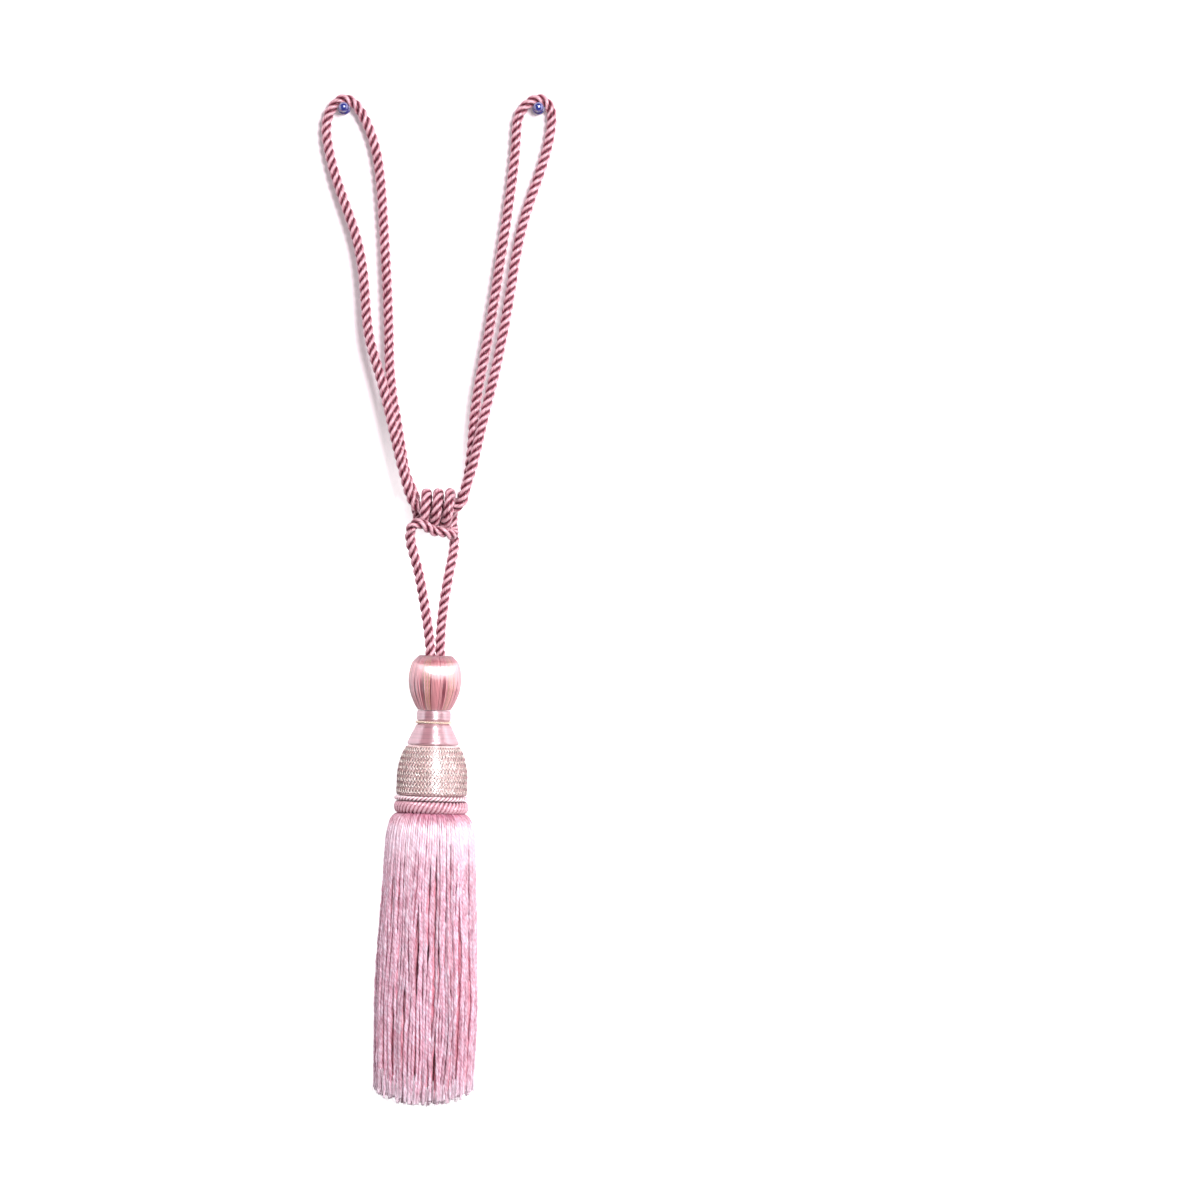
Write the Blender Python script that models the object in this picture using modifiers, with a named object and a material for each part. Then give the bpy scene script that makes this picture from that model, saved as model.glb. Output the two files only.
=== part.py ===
"""Curtain tieback: one twisted cord, hung over two push pins, knotted and ended in a tassel.

Frame: metres, +Z up, the wall is the plane Y = 0 and the front faces -Y. The origin is the centre of
the left pin's back face, flat on the wall. Sizes below are in millimetres and are scaled by MM.
"""

import math

import bmesh
import bpy
import numpy as np
from mathutils import Matrix, Vector

MM = 0.001
TURN = 2.0 * math.pi
SEAT_GAP = 0.3  # clearance between pieces that rest on each other
MERGE_DISTANCE = 0.00001

# Wall pins
PIN_SPACING = 125.0
PIN_COLLAR_RADIUS = 4.2
PIN_COLLAR_DEPTH = 2.0
PIN_WAIST_RADIUS = 1.7
PIN_HEAD_RADIUS = 3.4
PIN_HEAD_FRONT = 14.4
PIN_STEPS = 20

# Cord: three strands laid right-handed
CORD_RADIUS = 3.45
CORD_VALLEY = 0.76
CORD_STRANDS = 3
CORD_LAY = 17.5
CORD_STEPS_PER_LAY = 6

# Knot: the cord wraps three times round its own middle stretch, about a level axis
KNOT_DEPTH = -22.0
KNOT_HEIGHT = -257.6
WRAP_RADIUS = 9.9
WRAP_PITCH = 7.5
WRAP_TURNS = 3
WRAP_LEFT_END = 49.2
WRAP_BACK_SHIFT = 2.4  # how far left of its front run each wrap passes at the back
WRAP_POINTS_PER_TURN = 14

# The tassel hangs on an axis that leans a little to the left; drops are measured down that axis
TASSEL_TOP = (59.5, -26.0, -351.4)
TASSEL_LEAN_DEG = 1.65

BALL_HEIGHT = 35.2
CORD_SOCKET_RADIUS = 8.4
CORD_SOCKET_DEPTH = 5.0
NECK_TOP = BALL_HEIGHT + SEAT_GAP
NECK_RADIUS = 10.9
NECK_RING_DROP = 43.0
NECK_RING_CENTRE = 11.0
NECK_RING_RADIUS = 0.75
RING_SIDES = 6
NECK_BOTTOM = 57.3
FLARE_RADIUS = 16.6
BELL_TOP = NECK_BOTTOM + SEAT_GAP
BELL_TOP_RADIUS = 17.0
BELL_RADIUS = 22.7
BELL_BOTTOM = 89.6
HEAD_STEPS = 32

GIMP_RADIUS = 24.0
GIMP_CORD_RADIUS = 1.45
GIMP_CORD_DROP = 91.4
GIMP_CORD_STEPS = 48
GIMP_ROPE_HALF_HEIGHT = 3.75
GIMP_ROPE_HALF_DEPTH = 2.3
GIMP_ROPE_DROP = 97.0
GIMP_ROPE_TURNS = 16
GIMP_STEPS_PER_TURN = 6

SKIRT_STUB_RADIUS = 18.4
SKIRT_TOP = BELL_BOTTOM + SEAT_GAP
SKIRT_STUB_BOTTOM = 101.2
SKIRT_STRIP_BOTTOM = 103.0
SKIRT_STRIP_RADIUS = 24.4
SKIRT_ROOT_RADIUS = SKIRT_STRIP_RADIUS - 0.23
SKIRT_END = 286.0
SKIRT_SIDE_RISE = 5.0
SKIRT_RAGGED = 1.2
SKIRT_STRAND_FILL = 0.8  # share of its cell that a strand takes

# Half-width and half-depth of the skirt's outer row, and how far its middle sits in front of the axis
SKIRT_STATIONS = (
    {
        "drop": SKIRT_STRIP_BOTTOM,
        "half_width": SKIRT_ROOT_RADIUS,
        "half_depth": SKIRT_ROOT_RADIUS,
        "forward": 0.0,
    },
    {"drop": 110.0, "half_width": 27.6, "half_depth": 25.0, "forward": 0.6},
    {"drop": 172.0, "half_width": 31.6, "half_depth": 26.2, "forward": 1.8},
    {"drop": SKIRT_END, "half_width": 32.8, "half_depth": 26.4, "forward": 2.0},
)

# The skirt's rows from the outside in. A row takes "root_depth" of the strip's radius, and "depth" of
# the skirt's once its strands have left the strip. Each count divides the one before it.
SKIRT_ROWS = (
    {"strands": 64, "root_depth": 2.3, "depth": 2.9},
    {"strands": 64, "root_depth": 2.3, "depth": 2.9},
    {"strands": 32, "root_depth": 4.2, "depth": 5.0},
    {"strands": 32, "root_depth": 4.2, "depth": 5.0},
    {"strands": 16, "root_depth": 4.2, "depth": 5.0},
    {"strands": 8, "root_depth": 4.2, "depth": 4.2},
)

# The cord's centre line, as (x, y, z) in millimetres, from one end in the tassel to the other.
LEG_AND_LOWER_PASS = (
    (56.6, -28.6, -355.8),
    (55.6, -28.4, -341.8),
    (53.1, -28.0, -323.8),
    (50.2, -28.5, -306.6),
    (46.6, -29.7, -290.6),
    (43.8, -31.4, -280.0),
    (43.5, -33.2, -272.5),
    (45.2, -34.6, -268.6),
    (48.8, -35.6, -267.2),
    (53.8, -34.7, -269.3),
    (58.0, -31.5, -271.9),
    (63.0, -30.6, -272.6),
    (67.6, -28.0, -273.8),
    (70.4, -22.0, -274.0),
    (70.6, -15.2, -269.6),
)
LEFT_LOOP = (
    (45.2, -13.0, -248.3),
    (41.4, -15.0, -239.4),
    (38.1, -17.0, -225.3),
    (34.2, -15.3, -201.0),
    (30.4, -13.0, -175.4),
    (29.0, -10.8, -142.0),
    (26.6, -8.3, -92.2),
    (23.8, -7.3, -50.0),
    (17.0, -6.7, -15.4),
    (11.5, -6.5, -3.8),
    (6.1, -6.5, 3.2),
    (0.3, -6.5, 5.6),
    (-6.1, -6.5, 1.6),
    (-10.6, -6.7, -7.7),
    (-9.9, -7.2, -25.6),
    (-3.2, -8.4, -50.6),
    (9.0, -10.7, -87.0),
    (14.1, -13.3, -124.2),
    (16.6, -15.3, -147.2),
    (23.7, -18.5, -172.8),
    (32.8, -23.6, -209.2),
    (41.0, -26.6, -241.9),
    (44.4, -26.2, -252.0),
)
KNOT_CORE = (
    (47.9, -24.6, -257.2),
    (52.5, -22.0, -258.9),
    (60.7, -20.0, -258.2),
    (67.8, -22.5, -257.3),
    (72.8, -25.0, -256.6),
)
RIGHT_LOOP = (
    (76.4, -26.2, -253.0),
    (78.6, -26.4, -245.1),
    (81.6, -26.2, -235.5),
    (87.4, -24.2, -212.0),
    (97.0, -18.7, -171.5),
    (107.2, -12.7, -117.8),
    (115.5, -9.8, -73.5),
    (125.1, -8.1, -44.2),
    (130.9, -7.2, -25.0),
    (133.4, -6.7, -9.0),
    (131.8, -6.5, 1.0),
    (125.4, -6.5, 5.6),
    (118.7, -6.5, 2.9),
    (113.3, -6.5, -3.2),
    (110.7, -6.7, -17.9),
    (108.3, -7.2, -44.0),
    (101.4, -8.7, -92.2),
    (92.5, -11.4, -148.5),
    (83.8, -15.3, -201.0),
    (82.2, -16.8, -221.4),
    (80.3, -15.5, -235.5),
)
BACK_PASS_AND_LEG = (
    (78.0, -10.6, -245.4),
    (74.6, -6.2, -251.6),
    (71.4, -4.6, -256.8),
    (69.6, -4.8, -263.0),
    (70.0, -6.4, -269.4),
    (71.0, -9.4, -276.0),
    (71.0, -13.0, -283.0),
    (68.8, -18.0, -295.0),
    (65.9, -21.0, -311.0),
    (63.6, -22.5, -327.0),
    (62.5, -23.2, -341.8),
    (62.3, -23.4, -355.8),
)

DUSTY_PINK = (0.72, 0.30, 0.36, 1.0)
ROSE_PINK = (0.62, 0.20, 0.26, 1.0)
PALE_GOLD = (0.70, 0.52, 0.30, 1.0)
PINK_AND_GOLD = (0.68, 0.42, 0.38, 1.0)
PIN_BLUE = (0.03, 0.06, 0.42, 1.0)


def clear_scene():
    for old in list(bpy.data.objects):
        bpy.data.objects.remove(old, do_unlink=True)


def make_material(name, colour, roughness, metallic=0.0):
    material = bpy.data.materials.new(name)
    material.use_nodes = True
    shader = material.node_tree.nodes["Principled BSDF"]
    shader.inputs["Base Color"].default_value = colour
    shader.inputs["Roughness"].default_value = roughness
    shader.inputs["Metallic"].default_value = metallic
    material.diffuse_color = colour
    return material


def make_object(name, mesh, material, collection, parent=None):
    piece = bpy.data.objects.new(name, mesh)
    piece.data.materials.append(material)
    piece.parent = parent
    collection.objects.link(piece)
    return piece


def mesh_from_grid(name, rings, closed_path):
    """Skin rings of points, all of one count; an open row of rings gets a cap at each end."""
    count, sides, _ = rings.shape
    mesh = bpy.data.meshes.new(name)
    ring_pairs = count if closed_path else count - 1
    faces = []
    for ring in range(ring_pairs):
        following = (ring + 1) % count
        for side in range(sides):
            beside = (side + 1) % sides
            faces.append(
                (
                    ring * sides + side,
                    ring * sides + beside,
                    following * sides + beside,
                    following * sides + side,
                )
            )
    if not closed_path:
        faces.append(tuple(reversed(range(sides))))
        faces.append(tuple(range((count - 1) * sides, count * sides)))
    mesh.from_pydata((rings.reshape(-1, 3) * MM).tolist(), [], faces)
    mesh.shade_smooth()
    mesh.set_sharp_from_angle(angle=math.radians(60.0))
    return mesh


# ---------------------------------------------------------------- cord


def wrap_points():
    """The three wraps, from their right end to their left: each front run leans right at its top."""
    points = []
    steps = WRAP_TURNS * WRAP_POINTS_PER_TURN
    for step in reversed(range(steps + 1)):
        turn = step / WRAP_POINTS_PER_TURN
        angle = turn * TURN
        points.append(
            (
                WRAP_LEFT_END + WRAP_PITCH * turn - WRAP_BACK_SHIFT * (1.0 + math.cos(angle)) / 2.0,
                KNOT_DEPTH + WRAP_RADIUS * math.cos(angle),
                KNOT_HEIGHT - WRAP_RADIUS * math.sin(angle),
            )
        )
    return points


def cord_route():
    route = list(LEG_AND_LOWER_PASS)
    route += wrap_points()
    route += LEFT_LOOP
    route += KNOT_CORE
    route += RIGHT_LOOP
    route += BACK_PASS_AND_LEG
    return np.array(route)


def smooth_curve(points, samples):
    """A natural cubic spline through the points, read at evenly spaced lengths along it."""
    knots = np.concatenate(([0.0], np.cumsum(np.linalg.norm(np.diff(points, axis=0), axis=1))))
    spans = np.diff(knots)
    count = len(points)
    system = np.eye(count)
    right_side = np.zeros((count, 3))
    slopes = np.diff(points, axis=0) / spans[:, None]
    for row in range(1, count - 1):
        system[row, row - 1] = spans[row - 1]
        system[row, row] = 2.0 * (spans[row - 1] + spans[row])
        system[row, row + 1] = spans[row]
        right_side[row] = 6.0 * (slopes[row] - slopes[row - 1])
    curvature = np.linalg.solve(system, right_side)

    def read(lengths):
        span = np.clip(np.searchsorted(knots, lengths) - 1, 0, count - 2)
        width = spans[span][:, None]
        after = ((lengths - knots[span]) / spans[span])[:, None]
        before = 1.0 - after
        bend = (before**3 - before) * curvature[span] + (after**3 - after) * curvature[span + 1]
        return before * points[span] + after * points[span + 1] + bend * width**2 / 6.0

    dense = read(np.linspace(0.0, knots[-1], samples * 8))
    travelled = np.concatenate(([0.0], np.cumsum(np.linalg.norm(np.diff(dense, axis=0), axis=1))))
    even = np.linspace(0.0, travelled[-1], samples)
    return np.stack([np.interp(even, travelled, dense[:, axis]) for axis in range(3)], axis=1)


def lobed_section(strands, valley):
    """Angles and radii of a section with one ridge a strand and a valley between each two."""
    sides = strands * 2
    angles = np.arange(sides) * TURN / sides
    radii = np.where(np.arange(sides) % 2 == 0, 1.0, valley)
    return angles, radii


def carried_frames(path):
    """Two directions across the path at each point, carried along it without turning about it."""
    tangents = np.gradient(path, axis=0)
    tangents /= np.linalg.norm(tangents, axis=1)[:, None]
    across = np.empty_like(path)
    first = np.cross(tangents[0], (0.0, 1.0, 0.0))
    across[0] = first / np.linalg.norm(first)
    for index in range(1, len(path)):
        flat = across[index - 1] - tangents[index] * np.dot(across[index - 1], tangents[index])
        across[index] = flat / np.linalg.norm(flat)
    return across, np.cross(tangents, across)


def build_cord(collection):
    rough_length = np.linalg.norm(np.diff(cord_route(), axis=0), axis=1).sum()
    steps = int(round(rough_length / CORD_LAY * CORD_STEPS_PER_LAY))
    path = smooth_curve(cord_route(), steps + 1)
    across, beside = carried_frames(path)
    angles, radii = lobed_section(CORD_STRANDS, CORD_VALLEY)
    twist = np.arange(steps + 1) * TURN / CORD_STEPS_PER_LAY
    turned = angles[None, :] + twist[:, None]
    reach = (CORD_RADIUS * radii)[None, :, None]
    rings = path[:, None, :] + reach * (
        np.cos(turned)[:, :, None] * across[:, None, :] + np.sin(turned)[:, :, None] * beside[:, None, :]
    )
    material = make_material("cord_rayon", DUSTY_PINK, 0.4)
    return make_object("cord", mesh_from_grid("cord", rings, False), material, collection)


# ---------------------------------------------------------------- turned pieces


def turned_piece(name, profile, steps, material, collection, parent=None):
    """A profile of (radius, drop) rows, from the top of the axis outward and down, spun about Z."""
    mesh = bpy.data.meshes.new(name)
    rows = [(radius * MM, 0.0, -drop * MM) for radius, drop in profile]
    mesh.from_pydata(rows, [(row, row + 1) for row in range(len(rows) - 1)], [])
    piece = make_object(name, mesh, material, collection, parent)
    spin = piece.modifiers.new("spin", "SCREW")
    spin.axis = "Z"
    spin.angle = TURN
    spin.steps = steps
    spin.render_steps = steps
    spin.use_merge_vertices = True
    spin.merge_threshold = MERGE_DISTANCE
    spin.use_smooth_shade = True
    return piece


def build_pin(name, x, collection, material):
    """A plain turned push pin: a collar on the wall, a thin waist that the cord sits on, and a head."""
    profile = (
        (0.0, -PIN_HEAD_FRONT),
        (PIN_HEAD_RADIUS * 0.55, -PIN_HEAD_FRONT + 0.1),
        (PIN_HEAD_RADIUS * 0.88, -PIN_HEAD_FRONT + 0.5),
        (PIN_HEAD_RADIUS, -PIN_HEAD_FRONT + 1.3),
        (PIN_HEAD_RADIUS, -PIN_HEAD_FRONT + 3.0),
        (PIN_WAIST_RADIUS * 1.25, -PIN_HEAD_FRONT + 4.0),
        (PIN_WAIST_RADIUS, -PIN_HEAD_FRONT + 5.2),
        (PIN_WAIST_RADIUS, -PIN_COLLAR_DEPTH - 1.0),
        (PIN_WAIST_RADIUS * 1.35, -PIN_COLLAR_DEPTH - 0.2),
        (PIN_COLLAR_RADIUS, -PIN_COLLAR_DEPTH),
        (PIN_COLLAR_RADIUS, 0.0),
        (0.0, 0.0),
    )
    pin = turned_piece(name, profile, PIN_STEPS, material, collection)
    pin.location = (x * MM, 0.0, 0.0)
    pin.rotation_euler = (math.radians(90.0), 0.0, 0.0)
    return pin


def build_ball(collection, parent):
    """The upper mould under its vertical satin threads, with the socket that takes both cord ends."""
    profile = (
        (0.0, CORD_SOCKET_DEPTH),
        (CORD_SOCKET_RADIUS, CORD_SOCKET_DEPTH),
        (CORD_SOCKET_RADIUS, 0.8),
        (9.4, 0.0),
        (12.0, 1.5),
        (14.7, 4.5),
        (16.2, 8.6),
        (16.9, 13.8),
        (16.8, 18.5),
        (15.8, 24.0),
        (13.9, 29.0),
        (11.6, 33.4),
        (10.2, BALL_HEIGHT),
        (0.0, BALL_HEIGHT),
    )
    material = make_material("ball_satin", ROSE_PINK, 0.3)
    return turned_piece("head_ball", profile, HEAD_STEPS, material, collection, parent)


def build_neck(collection, parent):
    """The neck and its flare, wound round with satin, with a groove that the gold ring lies in."""
    groove_radius = NECK_RING_CENTRE - NECK_RING_RADIUS - SEAT_GAP
    profile = (
        (0.0, NECK_TOP),
        (NECK_RADIUS - 0.5, NECK_TOP),
        (NECK_RADIUS, NECK_TOP + 0.8),
        (NECK_RADIUS, NECK_RING_DROP - 1.7),
        (groove_radius, NECK_RING_DROP - 0.8),
        (groove_radius, NECK_RING_DROP + 0.8),
        (NECK_RADIUS + 0.2, NECK_RING_DROP + 1.8),
        (12.2, 47.0),
        (14.2, 50.8),
        (15.9, 54.4),
        (FLARE_RADIUS, 56.6),
        (FLARE_RADIUS - 0.4, NECK_BOTTOM),
        (0.0, NECK_BOTTOM),
    )
    material = make_material("neck_satin", DUSTY_PINK, 0.3)
    return turned_piece("head_neck", profile, HEAD_STEPS, material, collection, parent)


def build_bell(collection, parent):
    """The bell mould under its net of gold and pink threads."""
    profile = (
        (0.0, BELL_TOP),
        (BELL_TOP_RADIUS - 0.4, BELL_TOP),
        (BELL_TOP_RADIUS + 0.3, BELL_TOP + 0.9),
        (19.0, 61.8),
        (20.6, 66.0),
        (21.9, 71.5),
        (BELL_RADIUS, 77.5),
        (BELL_RADIUS, 84.5),
        (BELL_RADIUS - 0.4, BELL_BOTTOM - 0.6),
        (BELL_RADIUS - 1.0, BELL_BOTTOM),
        (0.0, BELL_BOTTOM),
    )
    material = make_material("bell_net", PINK_AND_GOLD, 0.4)
    return turned_piece("head_bell", profile, HEAD_STEPS, material, collection, parent)


# ---------------------------------------------------------------- rings and braid


def build_ring(name, centre_radius, tube_radius, drop, steps, material, collection, parent):
    mesh = bpy.data.meshes.new(name)
    piece = make_object(name, mesh, material, collection, parent)
    form = bmesh.new()
    section = bmesh.ops.create_circle(form, segments=RING_SIDES, radius=tube_radius * MM)["verts"]
    bmesh.ops.rotate(form, verts=section, cent=(0, 0, 0), matrix=Matrix.Rotation(TURN / 4, 3, "X"))
    bmesh.ops.translate(form, verts=section, vec=Vector((centre_radius, 0.0, -drop)) * MM)
    bmesh.ops.spin(
        form,
        geom=form.verts[:] + form.edges[:],
        cent=(0, 0, 0),
        axis=(0, 0, 1),
        angle=TURN,
        steps=steps,
        use_merge=True,
    )
    bmesh.ops.remove_doubles(form, verts=form.verts, dist=MERGE_DISTANCE)
    bmesh.ops.recalc_face_normals(form, faces=form.faces)
    form.to_mesh(mesh)
    form.free()
    mesh.shade_smooth()
    return piece


def build_gimp_rope(collection, parent, material):
    """A flattened three-strand rope, laid left-handed, wound once round under the bell."""
    steps = GIMP_ROPE_TURNS * GIMP_STEPS_PER_TURN
    around = np.arange(steps) * TURN / steps
    outward = np.stack([np.cos(around), np.sin(around), np.zeros(steps)], axis=1)
    upward = np.array([0.0, 0.0, 1.0])
    angles, radii = lobed_section(CORD_STRANDS, CORD_VALLEY)
    twist = np.arange(steps) * TURN / GIMP_STEPS_PER_TURN
    turned = angles[None, :] + twist[:, None]
    out_reach = GIMP_ROPE_HALF_DEPTH * radii[None, :] * np.cos(turned)
    up_reach = GIMP_ROPE_HALF_HEIGHT * radii[None, :] * np.sin(turned)
    centre = (GIMP_RADIUS - GIMP_ROPE_HALF_DEPTH) * outward - GIMP_ROPE_DROP * upward
    rings = centre[:, None, :] + out_reach[:, :, None] * outward[:, None, :]
    rings = rings + up_reach[:, :, None] * upward
    rings = rings[:, ::-1, :]
    mesh = mesh_from_grid("gimp_rope", rings, True)
    return make_object("gimp_rope", mesh, material, collection, parent)


# ---------------------------------------------------------------- skirt


def skirt_point(drop, inset, angle, inward=0.0):
    """A point on a row's oval at a drop, moved inward towards the oval's middle."""
    drops = [station["drop"] for station in SKIRT_STATIONS]
    width, depth, forward = (
        np.interp(drop, drops, [station[name] for station in SKIRT_STATIONS])
        for name in ("half_width", "half_depth", "forward")
    )
    x = (width - inset) * math.cos(angle)
    y = (depth - inset) * math.sin(angle)
    kept = 1.0 - inward / math.hypot(x, y)
    return x * kept, y * kept - forward


def strand_end(row, index, side_share):
    """The skirt hangs lowest at its middle, and its cut ends are a little ragged."""
    ragged = SKIRT_RAGGED * math.sin(index * 2.4 + row * 1.7)
    return SKIRT_END - SKIRT_SIDE_RISE * side_share**2 - SKIRT_RAGGED + ragged


def strand_ring(drop, row, angle, half_angle, add):
    """Three points of a strand's section at a drop: two on the outer side and one on the inner."""
    depth_name = "root_depth" if drop <= SKIRT_STRIP_BOTTOM else "depth"
    depths = [one[depth_name] for one in SKIRT_ROWS]
    inset = sum(depths[:row])
    return [
        add(*skirt_point(drop, inset, angle - half_angle), drop),
        add(*skirt_point(drop, inset, angle + half_angle), drop),
        add(*skirt_point(drop, inset, angle, depths[row] * SKIRT_STRAND_FILL), drop),
    ]


def build_skirt(collection, parent):
    """Strands of three sides, in rows, hanging from the strip that they are fused to at their roots.

    The strip's underside is rings of cells, one a strand; each cell holds a triangle, from which the
    strand is drawn down through the skirt's stations.
    """
    vertices = []
    faces = []

    def add(x, y, drop):
        vertices.append((x * MM, y * MM, -drop * MM))
        return len(vertices) - 1

    def circle(radius, drop, count):
        turns = [TURN * step / count for step in range(count)]
        return [add(radius * math.cos(turn), radius * math.sin(turn), drop) for turn in turns]

    def band(upper, lower):
        for step in range(len(upper)):
            beside = (step + 1) % len(upper)
            faces.append((upper[step], lower[step], lower[beside], upper[beside]))

    outer_count = SKIRT_ROWS[0]["strands"]
    top = circle(SKIRT_STUB_RADIUS, SKIRT_TOP, outer_count)
    stub_foot = circle(SKIRT_STUB_RADIUS, SKIRT_STUB_BOTTOM, outer_count)
    strip_top = circle(SKIRT_STRIP_RADIUS, SKIRT_STUB_BOTTOM + SEAT_GAP, outer_count)
    cell_rim = circle(SKIRT_STRIP_RADIUS, SKIRT_STRIP_BOTTOM, outer_count)
    faces.append(tuple(top))
    band(top, stub_foot)
    band(stub_foot, strip_top)
    band(strip_top, cell_rim)

    rim_radius = SKIRT_STRIP_RADIUS
    for row, strands in enumerate(SKIRT_ROWS):
        count = strands["strands"]
        cell_angle = TURN / count
        rim_radius -= strands["root_depth"]
        inner_rim = circle(rim_radius, SKIRT_STRIP_BOTTOM, count)
        rim_steps = len(cell_rim) // count
        for index in range(count):
            angle = (index + 0.5) * cell_angle
            end = strand_end(row, index, math.cos(angle) * rim_radius / SKIRT_STRIP_RADIUS)
            drops = [station["drop"] for station in SKIRT_STATIONS[:-1]] + [end]
            half_angle = 0.5 * cell_angle * SKIRT_STRAND_FILL
            rings = [strand_ring(drop, row, angle, half_angle, add) for drop in drops]
            outer_a, outer_b, inner = rings[0]
            rim = [cell_rim[(index * rim_steps + step) % len(cell_rim)] for step in range(rim_steps + 1)]
            in_a, in_b = inner_rim[index], inner_rim[(index + 1) % count]
            faces.append((rim[0], outer_a, outer_b, *reversed(rim[1:])))
            faces.append((rim[-1], outer_b, inner, in_b))
            faces.append((in_b, inner, in_a))
            faces.append((in_a, inner, outer_a, rim[0]))
            for upper, lower in zip(rings, rings[1:]):
                for side in range(3):
                    after = (side + 1) % 3
                    faces.append((upper[side], lower[side], lower[after], upper[after]))
            faces.append(tuple(reversed(rings[-1])))
        cell_rim = inner_rim
    faces.append(tuple(reversed(cell_rim)))

    mesh = bpy.data.meshes.new("skirt")
    mesh.from_pydata(vertices, [], faces)
    form = bmesh.new()
    form.from_mesh(mesh)
    bmesh.ops.recalc_face_normals(form, faces=form.faces)
    form.to_mesh(mesh)
    form.free()
    material = make_material("skirt_rayon", DUSTY_PINK, 0.4)
    return make_object("skirt", mesh, material, collection, parent)


# ---------------------------------------------------------------- the whole tieback


def build_tassel(collection):
    axis = bpy.data.objects.new("tassel_axis", None)
    axis.location = Vector(TASSEL_TOP) * MM
    axis.rotation_euler = (0.0, math.radians(TASSEL_LEAN_DEG), 0.0)
    collection.objects.link(axis)
    gold = make_material("gold_thread", PALE_GOLD, 0.35)
    gimp = make_material("gimp_rayon", DUSTY_PINK, 0.4)
    build_ball(collection, axis)
    build_neck(collection, axis)
    build_ring(
        "neck_ring",
        NECK_RING_CENTRE,
        NECK_RING_RADIUS,
        NECK_RING_DROP,
        HEAD_STEPS,
        gold,
        collection,
        axis,
    )
    build_bell(collection, axis)
    cord_centre = GIMP_RADIUS - GIMP_CORD_RADIUS
    build_ring(
        "gimp_cord",
        cord_centre,
        GIMP_CORD_RADIUS,
        GIMP_CORD_DROP,
        GIMP_CORD_STEPS,
        gimp,
        collection,
        axis,
    )
    build_gimp_rope(collection, axis, gimp)
    build_skirt(collection, axis)


def build_tieback():
    clear_scene()
    collection = bpy.data.collections.new("curtain_tieback")
    bpy.context.scene.collection.children.link(collection)
    blue = make_material("pin_plastic", PIN_BLUE, 0.15)
    build_pin("pin_left", 0.0, collection, blue)
    build_pin("pin_right", PIN_SPACING, collection, blue)
    build_cord(collection)
    build_tassel(collection)


build_tieback()
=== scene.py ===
"""Curtain tieback tassel: how it looks.

One twisted cord hangs over two push pins, is knotted, and ends in the head of a tassel with a braid and a
skirt of threads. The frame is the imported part's: +Z up, the wall is the plane Y = 0, the front faces -Y.
Camera, lights and the cord's route are in metres. The other pieces are worked out in millimetres, and MM
brings them to metres: the tassel's on its own axis, as a radius and a drop below its top.
"""

import math

import bpy
import numpy as np
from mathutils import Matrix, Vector


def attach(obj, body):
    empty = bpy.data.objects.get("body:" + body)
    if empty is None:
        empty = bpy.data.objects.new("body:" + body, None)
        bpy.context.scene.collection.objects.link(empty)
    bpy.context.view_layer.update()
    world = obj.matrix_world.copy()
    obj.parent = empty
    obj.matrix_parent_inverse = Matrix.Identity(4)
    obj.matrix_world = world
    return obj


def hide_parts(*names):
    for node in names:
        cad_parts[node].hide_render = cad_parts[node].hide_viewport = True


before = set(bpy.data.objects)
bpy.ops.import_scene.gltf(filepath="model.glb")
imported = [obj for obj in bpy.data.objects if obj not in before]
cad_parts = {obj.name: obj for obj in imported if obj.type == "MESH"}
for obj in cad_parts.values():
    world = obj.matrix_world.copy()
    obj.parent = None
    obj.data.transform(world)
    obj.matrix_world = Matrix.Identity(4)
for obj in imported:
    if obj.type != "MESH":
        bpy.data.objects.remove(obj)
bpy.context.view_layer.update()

MM = 0.001
TURN = 2.0 * math.pi
dice = np.random.default_rng(11)

# ---------------------------------------------------------------- camera

FRAME_SIDE = 0.768  # what the photograph's side spans in the plane that the cord hangs in
HANGING_PLANE = -0.020
CAMERA_DISTANCE = 4.0
SENSOR = 36.0
VIEW_CENTRE = (0.16448, -0.31616)  # x and z of the photograph's middle


def make_camera():
    """Straight in front, as far off as a long lens needs to see the photograph's square."""
    lens = bpy.data.cameras.new("camera")
    lens.sensor_width = SENSOR
    lens.lens = SENSOR * (CAMERA_DISTANCE + HANGING_PLANE) / FRAME_SIDE
    camera = bpy.data.objects.new("camera", lens)
    camera.location = (VIEW_CENTRE[0], -CAMERA_DISTANCE, VIEW_CENTRE[1])
    camera.rotation_euler = (math.radians(90.0), 0.0, 0.0)
    bpy.context.scene.collection.objects.link(camera)
    bpy.context.scene.camera = camera


make_camera()

# ---------------------------------------------------------------- meshes from arrays


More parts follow.
